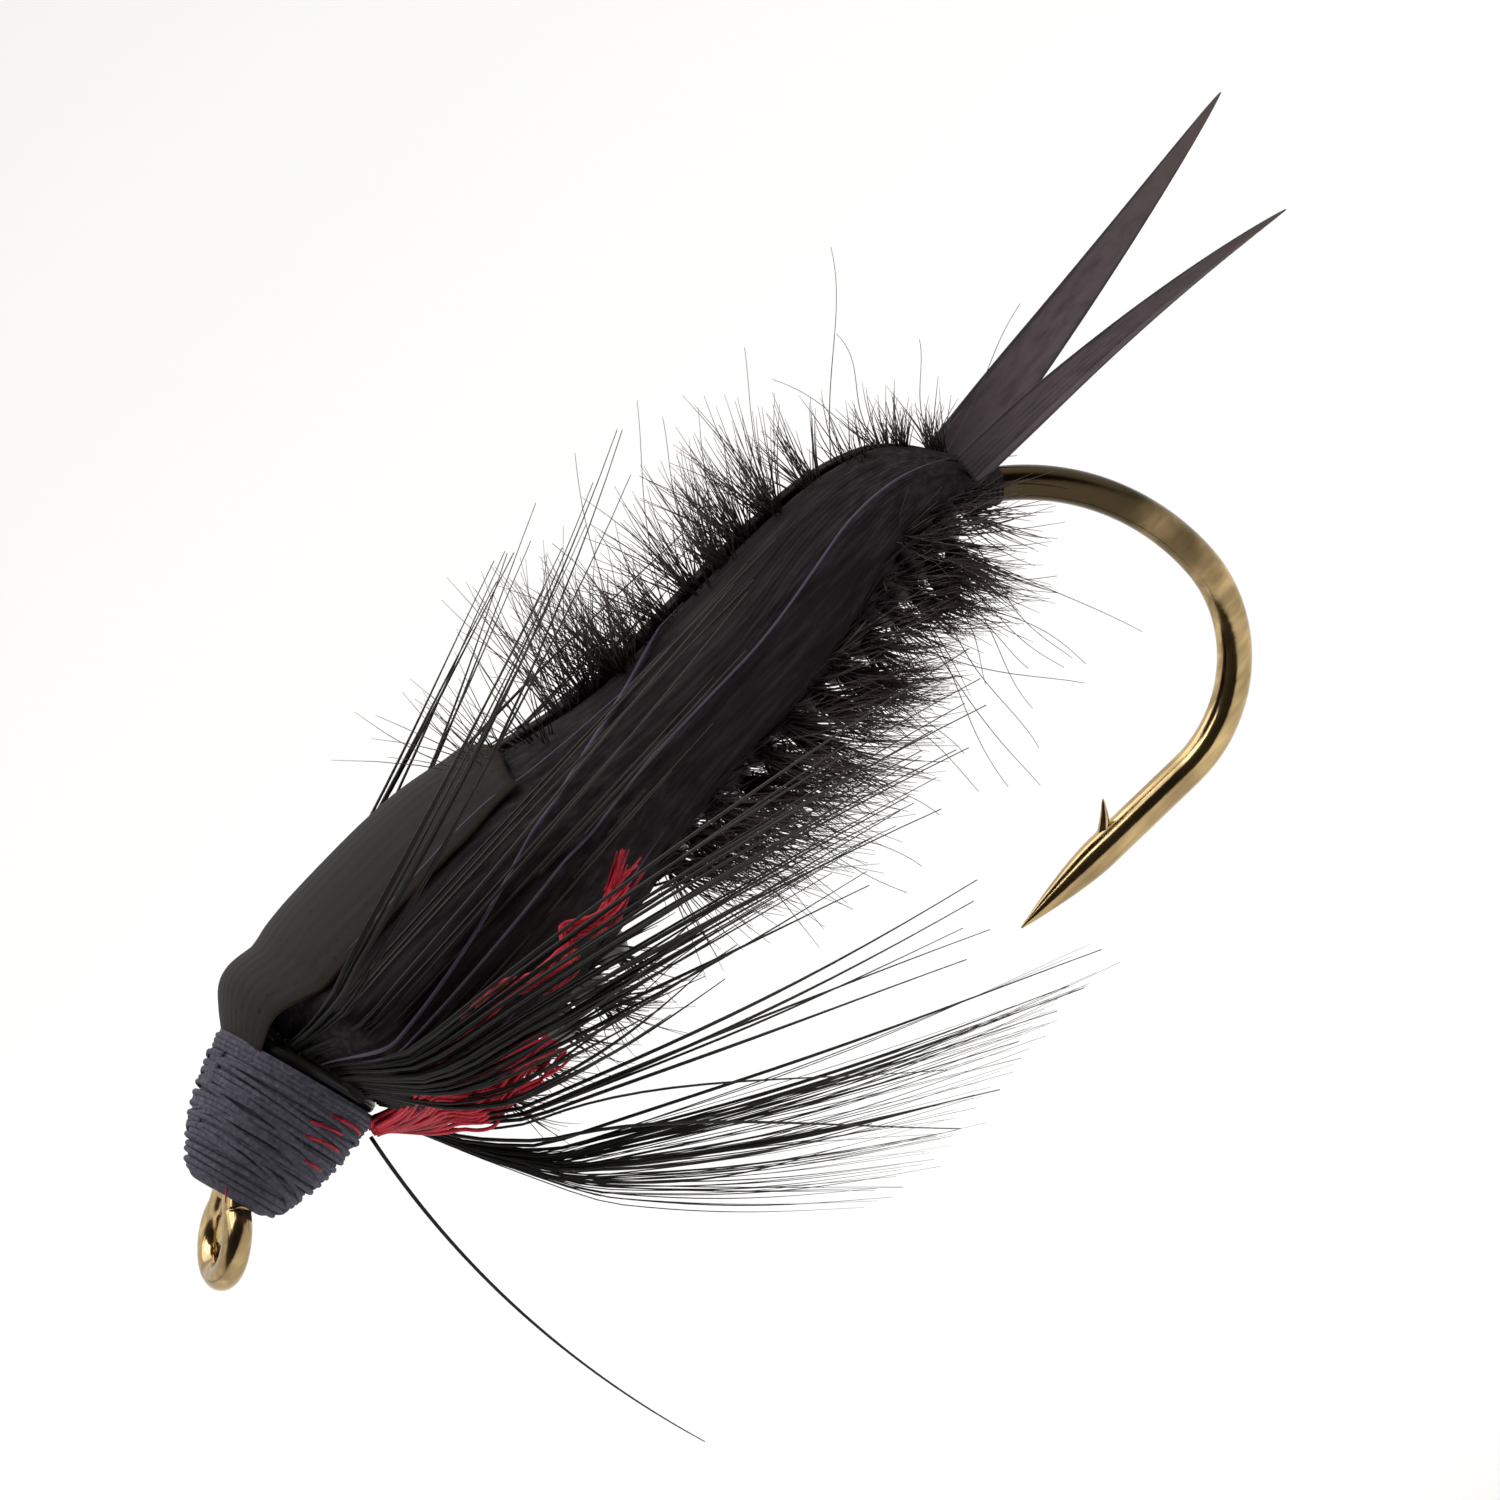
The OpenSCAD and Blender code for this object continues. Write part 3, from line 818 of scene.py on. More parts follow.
def make_hook():
    """Wire of the hook: shank, two-radius bend, spear with its needle point, barb, eye."""
    shape = Shape()
    path = wire_path()
    step = np.linalg.norm(np.diff(path, axis=0), axis=1)
    behind = np.concatenate([np.cumsum(step[::-1])[::-1], [0]])
    add_tube(shape, path, needle_r(behind), LEFT, 28)

    # Barb: a sliver cut up out of the spear, hooked back away from the point
    back = np.array([math.cos(SPEAR_RISE), 0, -math.sin(SPEAR_RISE)])
    up = np.array([math.sin(SPEAR_RISE), 0, math.cos(SPEAR_RISE)])
    t = np.linspace(0, 1, 14)[:, None]
    raised = math.radians(48)
    rise = BARB_L * math.sin(raised)
    run = BARB_L * math.cos(raised)
    barb = (path[-1] + back * (BARB_BACK - 0.25 + run * (t + 0.25 * t * (1 - t)))
            + up * (0.1 + rise * t ** 1.15))
    add_tube(shape, barb, 0.17 * (1 - t[:, 0]) ** 0.8 + 0.012, LEFT, 14)

    # Eye: a teardrop whose two legs come together under the head, on a tilted plane
    inward = np.array([math.cos(EYE_ANGLE), 0, math.sin(EYE_ANGLE)])
    leg_l, leg_y = 1.35, 0.2
    open_angle = math.radians(42)
    arc = np.linspace(open_angle, FULL_TURN - open_angle, 72)
    loop = EYE_R * (np.cos(arc)[:, None] * inward + np.sin(arc)[:, None] * LEFT)
    t = np.linspace(0, 1, 16)[:-1, None]
    first = lerp(leg_l * inward + leg_y * LEFT, loop[0], t)
    last = lerp(leg_l * inward - leg_y * LEFT, loop[-1], t)
    eye = np.concatenate([first, loop, last[::-1]])
    thinning = ease((np.linspace(0, 1, len(eye)) - 0.55) / 0.45)
    add_tube(shape, eye, EYE_WIRE_R * (0.98 - 0.16 * thinning), np.cross(inward, LEFT), 24)
    shape.piece("hook_wire", "hook_bronze", "hook")


# ---------------------------------------------------------------- thread

def add_turns(shape, place, t, r, angle, thread_r, sides=8, own=0.0):
    """Adds a thread whose middle winds: distance, radius and angle run together."""
    path = place(t, r, angle)
    add_tube(shape, path, np.full(len(t), thread_r), path - place(t, 0 * r, angle), sides, own)


def make_head(settings):
    """Head: wraps wound to the rim and slanted turns crossing them, over a solid core."""
    rng = np.random.default_rng(5)
    shape = Shape()
    thread_r = settings.thread_d / 2
    t = np.linspace(0, 1, 40) ** 1.4 * HEAD_L
    profile_t = np.concatenate([t, [HEAD_L - 0.02, HEAD_L - 0.02], [0.04, 0.04]])
    profile_r = np.concatenate([head_r(t) - 0.045, [1.2, 0.1], [0.1, 0.4]])
    add_sleeve(shape, profile_t, profile_r, round_head, np.zeros(len(profile_t)), 1.0)

    # The wraps wander at the front and lie evenly towards the rim
    turns = HEAD_L / settings.pitch
    angle = np.linspace(0, turns * FULL_TURN, int(turns * 60))
    t = lerp(0.07, HEAD_L - thread_r, angle / angle[-1])
    drift = 0.05 * np.sin(angle * 0.37 + 1) + 0.035 * np.sin(angle * 1.13)
    loose = 0.03 * np.sin(angle * 0.61) * (1 - ease((t - 1.7) / 0.6))
    add_turns(shape, round_head, t + drift * (1 - ease((t - 1.9) / 0.7)),
              head_r(t) - 0.05 + loose, angle, thread_r)

    angle = np.linspace(0, FULL_TURN * 1.04, 90)
    for turn in range(settings.crossings):
        share = turn / settings.crossings
        middle = lerp(0.5, 2.25, share) + rng.uniform(-0.06, 0.06)
        slant = rng.uniform(0.2, 0.5) * (1 - 0.5 * share)
        phase = rng.uniform(-0.9, 0.9) + 0.6
        t = middle + slant * np.cos(angle - phase) + 0.1 * angle / FULL_TURN
        t = np.clip(t, 0.1, 2.72)
        add_turns(shape, round_head, t, head_r(t) + 0.025 + 0.015 * np.sin(2 * angle),
                  angle, thread_r * 0.92, own=share)
    shape.piece("head_wraps", "thread_slate", "head_thread")


def make_whip_finish(settings):
    """Whip finish: a few tight turns over the front half of the head."""
    shape = Shape()
    turns = 5
    angle = np.linspace(0, turns * FULL_TURN, turns * 60)
    share = angle / angle[-1]
    t = lerp(0.85, 1.85, share) + 0.07 * np.cos(angle - 0.7)
    sunk = 0.12 * (1 - ease(share * 25)) + 0.12 * ease((share - 0.96) * 25)
    add_turns(shape, round_head, t, head_r(t) + 0.05 - sunk, angle, settings.thread_d / 2.2)
    shape.piece("whip_finish_turns", "thread_slate", "whip_finish")


def make_red_ends():
    """Short ends of crimson thread that show between the wraps low on the head."""
    shape = Shape()
    # Distance from the head's front, angle and half the angle that each covers
    ends = [(1.25, 118, 22), (1.75, 112, 26), (2.05, 106, 18), (2.3, 124, 20)]
    for t, middle, reach in ends:
        angle = np.radians(np.linspace(middle - reach, middle + reach, 16))
        distance = np.full_like(angle, t) + 0.12 * np.cos(angle * 3)
        sunk = 0.11 * np.abs(np.linspace(-1, 1, 16)) ** 3
        add_turns(shape, round_head, distance, head_r(distance) + 0.075 - sunk, angle, 0.04)
    u = np.linspace(0, 1, 10)
    path = round_head(0.3 - 0.42 * u, 0.78 + 0.42 * u, np.radians(62 + 10 * u))
    add_tube(shape, path, 0.045 * (1 - 0.75 * u), HEAD_UP, 6)
    shape.piece("head_red_ends", "thread_red")


def closed_profile(start, end, outer, bore, steps):
    """Profile of a sleeve: out along its outer radius, and back along its bore."""
    s = np.linspace(start, end, steps)
    return (np.concatenate([s, s[::-1]]),
            np.concatenate([outer(s), np.full(steps, bore)]),
            np.concatenate([np.ones(steps), np.zeros(steps)]))


def make_base_thread():
    """Base thread: crimson turns side by side along the shank."""
    shape = Shape()
    s, r, ridged = closed_profile(SHANK_START + 0.9, SHANK_L,
                                  lambda s: np.full_like(s, BASE_R - 0.03),
                                  WIRE_R + 0.005, 700)
    add_sleeve(shape, s, r, round_wire, ridged * 0.03, 0.16, 24)
    shape.piece("base_wraps", "thread_red", "base_thread")


def make_underbody():
    """Underbody: thick yarn wound to a barrel in the thorax and a slim abdomen."""
    shape = Shape()
    parts = [(THORAX_START, THORAX_END, THORAX_CORE_R, THORAX_LIFT),
             (THORAX_END, SHANK_L, ABDOMEN_CORE_R, 0.0)]
    for start, end, radius, lift in parts:
        s, r, ridged = closed_profile(
            start, end, lambda s: core_r(radius, (s - start) / (end - start)) - 0.06,
            BASE_R + 0.005, 160)
        add_sleeve(shape, s, r, lambda s, r, angle: round_wire(s, r, angle) + lift * UP,
                   ridged * 0.06, 0.45, 40)
    shape.piece("underbody_yarn", "yarn_dark", "underbody")


def make_tail_thread():
    """Tail thread: black turns over the butts of the biots, at the start of the bend."""
    shape = Shape()
    s, r, ridged = closed_profile(ABDOMEN_END + GAP, ABDOMEN_END + 0.62,
                                  lambda s: WIRE_R + 0.14 - 0.18 * (s - ABDOMEN_END),
                                  WIRE_R + 0.005, 60)
    add_sleeve(shape, s, r, round_wire, ridged * 0.035, 0.13, 36)
    shape.piece("tail_wraps", "thread_black", "tail_thread")


# ---------------------------------------------------------------- herl

def add_strand(shape, start, end, strand, strands, width):
    """Adds a wound strand: an oval tube between the core and the skin, on a helix."""
    steps = 26
    lead = width * strands
    turns = (end - start - width * (strand + 1)) / lead
    angle = np.arange(int(turns * steps) + 1) * FULL_TURN / steps
    s = start + width * (strand + 0.5) + lead * angle / FULL_TURN
    inner = wound_r(s)
    sunk = 0.5 * np.exp(-(from_back(angle) / 0.35) ** 2) * (s > CASE_END)
    outer = np.maximum(skin(s) - 0.12 - sunk, inner + 0.1)
    outer = lerp(outer, BASE_R + 0.08, ease((s - ABDOMEN_END + 1.3) / 1.3))
    outer = np.maximum(outer, inner + 0.02)
    middle = round_body(s, (inner + outer) / 2, angle)
    tall = radial(s, angle) * ((outer - inner) / 2)[:, None]
    wide = rearward(s) * (width / 2 - GAP)
    phi = np.arange(10) * FULL_TURN / 10
    rings = (middle[:, None] + np.cos(phi)[None, :, None] * tall[:, None]
             + np.sin(phi)[None, :, None] * wide[:, None])
    shape.add(rings, ring_faces(1, len(s), len(phi)), own=0.3)
    return s, angle


def bare(s, angle):
    """Whether a place on the skin is free of the wing slips and the wing case."""
    off = from_back(angle)
    back = (off < math.radians(17)) & (s > CASE_END - 0.4)
    belly = off > np.where(s < ABDOMEN_END - 0.35, slip_edge(s) - 0.06, 0)
    return back | belly, back


def flue_length(s, back, settings):
    """Longest flue at a place: they grow shorter towards the tail, in smooth steps."""
    rear = 1.6 - 0.6 * ease((s - 10.5) / 4) - 0.6 * ease((s - 18) / 2.5)
    under = 1 - 0.4 * ease((s - 14.5) / 3)
    return np.where(back, settings.back_length * rear, settings.belly_length * under)


def add_flues(shape, s_line, angle_line, lead, settings, rng, share, reach):
    """Adds tufts of flues: each fibre leans, sweeps back and curls as its length squared."""
    per_tuft = 8
    count = int(settings.tufts * share)
    place = rng.uniform(0, 1, count) * (len(s_line) - 1)
    s = np.interp(place, np.arange(len(s_line)), s_line)
    angle = np.interp(place, np.arange(len(s_line)), angle_line)
    # Some tufts gather where the strand crosses the narrow back between the slips
    to_back = rng.uniform(0, 1, count) < 0.04
    shift = np.round(angle / FULL_TURN) * FULL_TURN - angle
    s = s + np.where(to_back, shift / FULL_TURN * lead + rng.normal(0, 0.14, count), 0)
    angle = angle + np.where(to_back, shift + rng.normal(0, math.radians(7), count), 0)
    free, back = bare(s, angle)
    kept = free & (s > s_line[0]) & (s < ABDOMEN_END - 0.02)
    s, angle, back = s[kept], angle[kept], back[kept]
    tufts = len(s)

    def each(values, spread):
        return (values[:, None] + rng.normal(0, spread, (tufts, per_tuft))).ravel()

    own = rng.uniform(0, 1, tufts)
    length = flue_length(s, back, settings) * reach * rng.uniform(0.4, 1.0, tufts)
    root_s = each(s, 0.06)
    root_angle = each(angle, 0.035)
    lean = each(rng.normal(0.05, 0.25, tufts) + np.where(back, 0.0, 0.25), 0.2)
    side = each(rng.normal(0, 0.2, tufts), 0.2)
    long = np.abs(each(length, 0.28)) + 0.3
    curl = each(np.where(back, 0.1, 0.45), 0.3)
    curl_side = each(np.zeros(tufts), 0.22)
    t = np.linspace(0, 1, 6)[None, :, None]
    out = radial(root_s, root_angle)[:, None]
    rear = rearward(root_s)[:, None]
    around = np.cross(rear, out)
    root = round_body(root_s, skin(root_s) - 0.3, root_angle)[:, None]
    way = unit(out + lean[:, None, None] * rear + side[:, None, None] * around)
    bend = curl[:, None, None] * rear + curl_side[:, None, None] * around
    path = root + long[:, None, None] * (way * t + bend * 0.5 * t ** 2)
    radii = settings.root_d / 2 * (1 - 0.75 * t[0, :, 0] ** 1.3)
    own = np.clip(each(own, 0.15), 0, 1)
    add_tubes(shape, path, radii[None, :], around, 3, own)


def make_herl(settings):
    """Strands of wound herl, with the share and the reach of the flues of each part."""
    rng = np.random.default_rng(settings.seed)
    parts = [("abdomen", 3, THORAX_END, ABDOMEN_END, ABDOMEN_STRAND_W, 1.0, 1.0),
             ("thorax", 2, THORAX_START, THORAX_END, THORAX_STRAND_W, 0.2, 0.4)]
    for part, strands, start, end, width, share, reach in parts:
        for k in range(strands):
            shape = Shape()
            s, angle = add_strand(shape, start, end, k, strands, width)
            add_flues(shape, s, angle, width * strands, settings, rng, share, reach)
            shape.piece(f"{part}_herl_strand_{k + 1}", "herl", f"{part}_herl_{k + 1}")


# ---------------------------------------------------------------- quill

def add_stem_lines(shape, start, hand):
    """Adds stem lines that stand proud of a slip. Their share of its angle drifts with
    the square of the way along, until they settle."""
    # First and last share, where the line settles, its start and end, and its radius
    lines = [(0.64, 0.08, 0.62, 0.0, 0.66, 0.045), (0.67, 0.57, 0.50, 0.03, 0.97, 0.034),
             (0.30, 0.22, 0.50, 0.10, 0.62, 0.022), (0.86, 0.84, 0.50, 0.02, 0.45, 0.02)]
    for first, last, settled, begin, end, line_r in lines:
        u = np.linspace(begin, end, 120)
        s = lerp(HEAD_REAR[0] + 0.25, ABDOMEN_END - 0.05, u)
        share = lerp(first, last, np.minimum(1, u / settled) ** 2)
        angle = hand * lerp(start, slip_edge(s), share)
        fade = ease((u - begin) * 20) * ease((end - u) * 12)
        radii = line_r * (0.2 + 0.8 * fade) * (1 - 0.3 * u)
        # own=1.0 marks the stem line for the quill's painted violet sheen
        add_tube(shape, round_body(s, slip_r(s) + QUILL_T + 0.14, angle), radii,
                 radial(s, angle), 6, own=1.0)


def add_frayed_fibres(shape, hand):
    """Adds loose fibres that fray from the lower edge and from the end of a slip."""
    rng = np.random.default_rng(21 if hand > 0 else 22)
    count = 70
    s = rng.uniform(8.5, ABDOMEN_END - 0.4, count)
    edge = slip_edge(s) * rng.uniform(0.93, 1.0, count)
    t = np.linspace(0, 1, 8)[None, :]
    length = rng.uniform(0.5, 2.2, count)[:, None]
    r = slip_r(s)[:, None] + 0.07 + rng.uniform(0, 0.5, count)[:, None] * t ** 2
    angle = edge[:, None] + rng.normal(0.05, 0.12, count)[:, None] * t
    path = round_body(s[:, None] + length * t, r, hand * angle)
    add_tubes(shape, path, 0.03 * (1 - 0.8 * t), LEFT + 0.3 * UP, 4, across=0.9)


def make_wing_slip(settings, hand):
    """Wing slip: fibres side by side in overlapping strips, pressed round one flank."""
    shape = Shape()
    s = np.linspace(HEAD_REAR[0] + 0.2, ABDOMEN_END, 150)[:, None]
    v = np.linspace(0, 1, settings.ridges * 6 + 1)[None, :]
    start = math.radians(7)
    wander = 0.02 * np.sin(1.1 * s + 9 * v) * np.sin(math.pi * v)
    angle = lerp(start, slip_edge(s), v + wander)
    ridge = np.abs(np.sin(math.pi * settings.ridges * v)) ** 0.7
    strips = 3.0
    step = (v * strips + 0.12 * np.sin(0.5 * s)) % 1.0
    relief = settings.relief * ridge + 0.03 * step * ease(step * 9) * ease((1 - step) * 14)
    tucked = 0.05 * ease(1 - v * 12) + 0.05 * ease((v - 0.92) * 12)
    pinched = 0.34 * ease((s - ABDOMEN_END + 1.6) / 1.6)
    middle = slip_r(s) + QUILL_T / 2 - pinched
    top = round_body(s, middle + 0.03 + relief - tucked, hand * angle)
    under = round_body(s, middle - QUILL_T / 2 - tucked, hand * angle)
    add_sheet(shape, top, under, across=v, along=(s - s[0]) / (ABDOMEN_END - s[0]))
    add_stem_lines(shape, start, hand)
    add_frayed_fibres(shape, hand)
    side = "left" if hand > 0 else "right"
    shape.piece(f"wing_slip_{side}_strips", "quill_black", f"wing_slip_{side}")


def make_wing_case():
    """Wing case: one smooth strip pulled over the thorax, with its end trimmed square."""
    shape = Shape()
    u = np.linspace(0, 1, 90)[:, None]
    v = np.linspace(-1, 1, 61)[None, :]
    cut = 0.14 * np.sin(5 * v) - 0.10 * v
    rim = HEAD_REAR[0] - HEAD_REAR_R * math.sin(HEAD_LEAN) * np.cos(v * CASE_REACH) - 0.12
    s = lerp(rim, CASE_END + cut * u ** 4, u)
    reach = CASE_REACH * (1 - 0.10 * ease((u - 0.75) * 4))
    crown = 0.05 * np.sin(math.pi * ease(u)) * (1 - v ** 2)
    grain = 0.006 * np.sin(v * 44 + 0.8 * np.sin(5 * u))
    lifted = 0.12 * ease((u - 0.9) * 10) * (1 - 0.4 * v ** 2)
    r = case_r(s) + crown + lifted
    thick = QUILL_T / 2 * (1 - 0.5 * v ** 8)
    add_sheet(shape, round_body(s, r + thick + grain, v * reach),
              round_body(s, r - thick, v * reach), across=(v + 1) / 2, along=u)
    shape.piece("wing_case_strip", "case_olive", "wing_case")


def make_biot(hand, length, width, curl):
    """Tail biot: a thin pointed blade, dished along its middle and curled at its tip."""
    shape = Shape()
    splay, thick, rise = math.radians(17), 0.14, 0.02
    root = wire_point(np.array(ABDOMEN_END + 0.1)) + np.array([0, -0.70, 0.55])
    t = np.linspace(0, 1, 90)[:, None]
    v = np.linspace(-1, 1, 33)[None, :]
    swell = 0.84 + 0.16 * np.sin(np.minimum(1, t / 0.3) * math.pi / 2)
    half = width / 2 * swell * (1 - t) ** 0.75 + 0.01
    middle = root + length * np.stack([t * math.cos(splay),
                                       -t * math.sin(splay) * (0.55 + 0.45 * t),
                                       rise * t + curl * t ** 3], axis=-1)
    lip = half[..., None] * np.array([0, -0.25, 1.0]) * v[..., None]
    face = np.array([math.sin(splay), math.cos(splay), 0])
    rib = 0.04 * np.exp(-((v + 0.45) / 0.16) ** 2) * (1 - t)
    grooves = 0.008 * np.sin(v * 26) * (1 - t)
    dish = 0.16 * half * v ** 2
    body = thick / 2 * (1 - 0.6 * t) * (1 - 0.75 * v ** 4)
    top = middle + lip - (body + rib + grooves - dish)[..., None] * face
    under = middle + lip + (body + dish)[..., None] * face
    if hand < 0:
        top, under = (grid * np.array([1, -1, 1]) for grid in (top, under))
    add_sheet(shape, top, under, across=(v + 1) / 2, along=t)
    side = "left" if hand > 0 else "right"
    shape.piece(f"biot_{side}", "biot_purple", f"tail_biot_{side}")


# ---------------------------------------------------------------- hackle and throat

RINGS = 20
WAY = np.linspace(0, 1, RINGS)[None, :]


def barb_paths(angle, length, stand_off, lift, drift, bow):
    """Middles of barbs that rise over the shoulder of the thorax and sweep back.

    The radius grows with the 1.25th power of the way along the barb, and the angle by
    the drift with the 1.5th power. The bow adds a half sine of radius. Near its root a
    barb is drawn in to the stem with the smooth step."""
    t = WAY ** 1.35
    angle, length, stand_off, lift, drift, bow = (
        np.reshape(v, (-1, 1)) for v in (angle, length, stand_off, lift, drift, bow))
    start = HEAD_REAR[0] + STEM_D + 0.1 - STEM_RING_R * math.sin(HEAD_LEAN) * np.cos(angle)
    s = start + length * t
    r = (skin(np.minimum(s, THORAX_MID)) + stand_off + lift * t ** 1.25
         + bow * np.sin(math.pi * t))
    r = lerp(STEM_RING_R + 0.1, r, ease(0.4 + length * t / 3.0))
    return round_straight(s, r, angle + drift * t ** 1.5)


def add_barbs(shape, path, root_r, sides, own):
    """Adds barbs whose radii are nearly even, then fine over the last third."""
    fine = 1 - 0.25 * WAY - 0.5 * ease((WAY - 0.6) / 0.4)
    add_tubes(shape, path, fine * root_r[:, None], LEFT + 0.35 * UP, sides, own)


class Fan(NamedTuple):
    """A fan of barbs, whose values run evenly from its first barb to its last one."""
    part: str
    count: int
    angles: tuple
    lengths: tuple
    lifts: tuple
    drifts: tuple
    bow: float = 0.0
    off: float = 0.4
    uneven: float = 1.0

    def add_to(self, shape, settings, rng):
        """Adds the fan's barbs, each a little off the even run."""
        n = self.count
        share = np.clip((np.arange(n) + rng.uniform(-0.6, 0.6, n)) / (n - 1), 0, 1)
        angle = np.radians(lerp(*self.angles, share) + self.uneven * rng.normal(0, 2.0, n))
        length = lerp(*self.lengths, share) - self.uneven * np.abs(rng.normal(0, 1.2, n))
        lift = lerp(*self.lifts, share) + self.uneven * rng.normal(0, 0.25, n)
        drift = np.radians(lerp(*self.drifts, share) + self.uneven * rng.normal(0, 3.0, n))
        off = self.off + rng.uniform(-0.2, 0.22, n)
        bow = self.bow + self.uneven * rng.normal(0, 0.15, n)
        path = barb_paths(angle, length, off, lift, drift, bow)
        root_r = settings.barb_d / 2 * rng.uniform(0.65, 1.0, n)
        add_barbs(shape, path, root_r, 6, rng.uniform(0, 1, n))


# Part and count, then first and last angle, length, lift and drift. Angles and drifts are
# in degrees, and the rest in millimetres
FANS = [
    Fan("upper_left", 8, (56, 50), (12.8, 9.6), (6.4, 3.8), (-16, -10), 0.8, uneven=0.6),
    Fan("upper_left", 14, (54, 88), (14.0, 9.0), (-0.2, -0.9), (-8, -4), off=0.28),
    Fan("upper_right", 7, (-66, -84), (10.6, 12.0), (1.4, 2.3), (34, 44)),
    Fan("upper_right", 10, (-55, -88), (13.6, 11.0), (-0.2, -0.8), (8, 4), off=0.28),
    Fan("side_left", 24, (80, 97), (14.0, 9.4), (5.4, 3.2), (14, 14), 0.9, uneven=0.7),
    Fan("side_left", 14, (92, 108), (9.2, 6.2), (3.6, 2.2), (5, 2), 0.6, uneven=0.8),
    Fan("side_right", 26, (-84, -130), (14.0, 12.6), (3.0, 1.4), (-31, 0), uneven=0.8),
    Fan("belly", 5, (114, 122), (10.3, 10.7), (7.0, 5.6), (-8, 4), 0.4, uneven=0.5),
    Fan("belly", 2, (133, 137), (7.6, 7.2), (7.5, 7.8), (-12, -12), -1.0, uneven=0.3),
    Fan("belly", 7, (154, 160), (12.3, 8.6), (6.0, 6.2), (1, 0), 0.65, 0.3, uneven=0.35),
    Fan("belly", 4, (186, 202), (7.4, 6.2), (6.4, 7.0), (0, 2), 1.1, uneven=0.5),
]


def make_hackle(settings):
    """Hackle: fans of barbs over the shoulders, down the flanks and under the belly."""
    rng = np.random.default_rng(settings.seed)
    for part in ("upper_left", "upper_right", "side_left", "side_right", "belly"):
        shape = Shape()
        for fan in FANS:
            if fan.part == part:
                fan.add_to(shape, settings, rng)
        if part == "belly":
            add_web(shape, rng)
        shape.piece(f"hackle_{part}_barbs", "hackle_black", f"hackle_{part}")


def add_web(shape, rng):
    """Adds a soft bundle of fine fibres that hangs under the belly like a bowl."""
    n = 70
    angle = np.radians(rng.normal(157, 2.5, n))
    length = rng.uniform(5.0, 12.4, n)
    path = barb_paths(angle, length, 0.3 + rng.uniform(0, 0.3, n), rng.normal(6.0, 0.2, n),
                      np.radians(rng.normal(0, 2.5, n)), rng.normal(0.65, 0.15, n))
    add_barbs(shape, path, rng.uniform(0.008, 0.016, n), 4, rng.uniform(0.4, 1, n))


def make_stray_barb(settings):
    """Stray barb: a quadratic curve that hangs down from behind the head."""
    shape = Shape()
    start = np.array([HEAD_REAR[0] + 0.12, -0.35, -0.62])
    knee = start + STRAY_L * np.array([-0.09, -0.02, -0.49])
    tip = start + STRAY_L * np.array([0.055, -0.06, -0.99])
    t = np.linspace(0, 1, 40)[:, None]
    path = (1 - t) ** 2 * start + 2 * t * (1 - t) * knee + t ** 2 * tip
    radii = settings.barb_d / 2 * 0.85 * (1 - 0.75 * t[:, 0] ** 1.5)
    add_tube(shape, path, radii, LEFT, 8, 0.5)
    shape.piece("hackle_stray_barb", "hackle_black", "hackle_stray")


def make_hackle_stem():
    """Stem of the hackle: two turns against the rear of the head."""
    shape = Shape()
    angle = np.linspace(0, 2.1 * FULL_TURN, 160)
    t = HEAD_L + 0.09 + 0.13 * angle / angle[-1]
    r = STEM_RING_R + 0.03 * np.sin(angle * 3) - 0.12 * ease((angle - 12) / 1.2)
    add_turns(shape, round_head, t, r, angle, STEM_D / 2 - 0.01, 10)
    shape.piece("hackle_stem_turns", "hackle_black", "hackle_stem")


def add_bundle(shape, rng, count, length, flank, end, spread, height):
    """Adds a bundle of filaments. Each turns from under the throat to the flank with the
    smooth step and then drifts back, while its radius grows from the rim to its height
    over the skin in the same way."""
    t = np.linspace(0, 1, 44)[None, :]
    own, shorter, depth = rng.uniform(0, 1, (3, count, 1))
    run = length * (1 - 0.45 * shorter ** 2) * t
    s = HEAD_REAR[0] + 0.22 + run
    angle = lerp(158, flank, ease(run / 1.1)) + (end - flank) * run / length
    angle = angle + spread * rng.normal(0, 1, (count, 1)) * (1.8 - 0.8 * ease(run / 2))
    angle = np.radians(angle + 2.5 * np.sin(9 * t + 6 * own))
    # A long bundle passes under the barbs before it comes out between them
    if length > 5:
        dip = 0.8 * np.exp(-((run - 5.1) / 0.3) ** 2)
        height = height * (ease((run - 3.4) / 0.5) - dip)
    r = lerp(1.6 + 0.35 * depth, skin(s) + 0.15 + height + 0.22 * depth, ease(run / 1.6))
    add_tubes(shape, round_body(s, r, angle), 0.052 * (1 - 0.4 * t), LEFT + 0.4 * UP, 6, own)


def make_throat_floss():
    """Throat floss: two bundles that leave the rim under the head, and a frayed end that
    stands out between the barbs further back."""
    rng = np.random.default_rng(31)
    shape = Shape()
    add_bundle(shape, rng, 56, 3.5, flank=102, end=113, spread=5.0, height=0.55)
    add_bundle(shape, rng, 18, 7.0, flank=88, end=92, spread=1.3, height=1.3)

    count = 22
    own = rng.uniform(0, 1, count)
    root = round_body(9.7, float(skin(np.array(9.7))) + 1.35, math.radians(91))
    lean = rng.normal(0, 0.12, (count, 3))
    way = unit(np.array([0.72, -0.30, 0.40]) + lean)[:, None]
    t = np.linspace(0, 1, 10)[None, :, None]
    long = rng.uniform(0.4, 1.1, count)[:, None, None]
    path = root + rng.normal(0, 0.06, (count, 1, 3)) + long * way * t
    add_tubes(shape, path, 0.04 * (1 - 0.6 * t[..., 0]), LEFT, 5, own)
    shape.piece("throat_floss_filaments", "thread_red", "throat_floss")


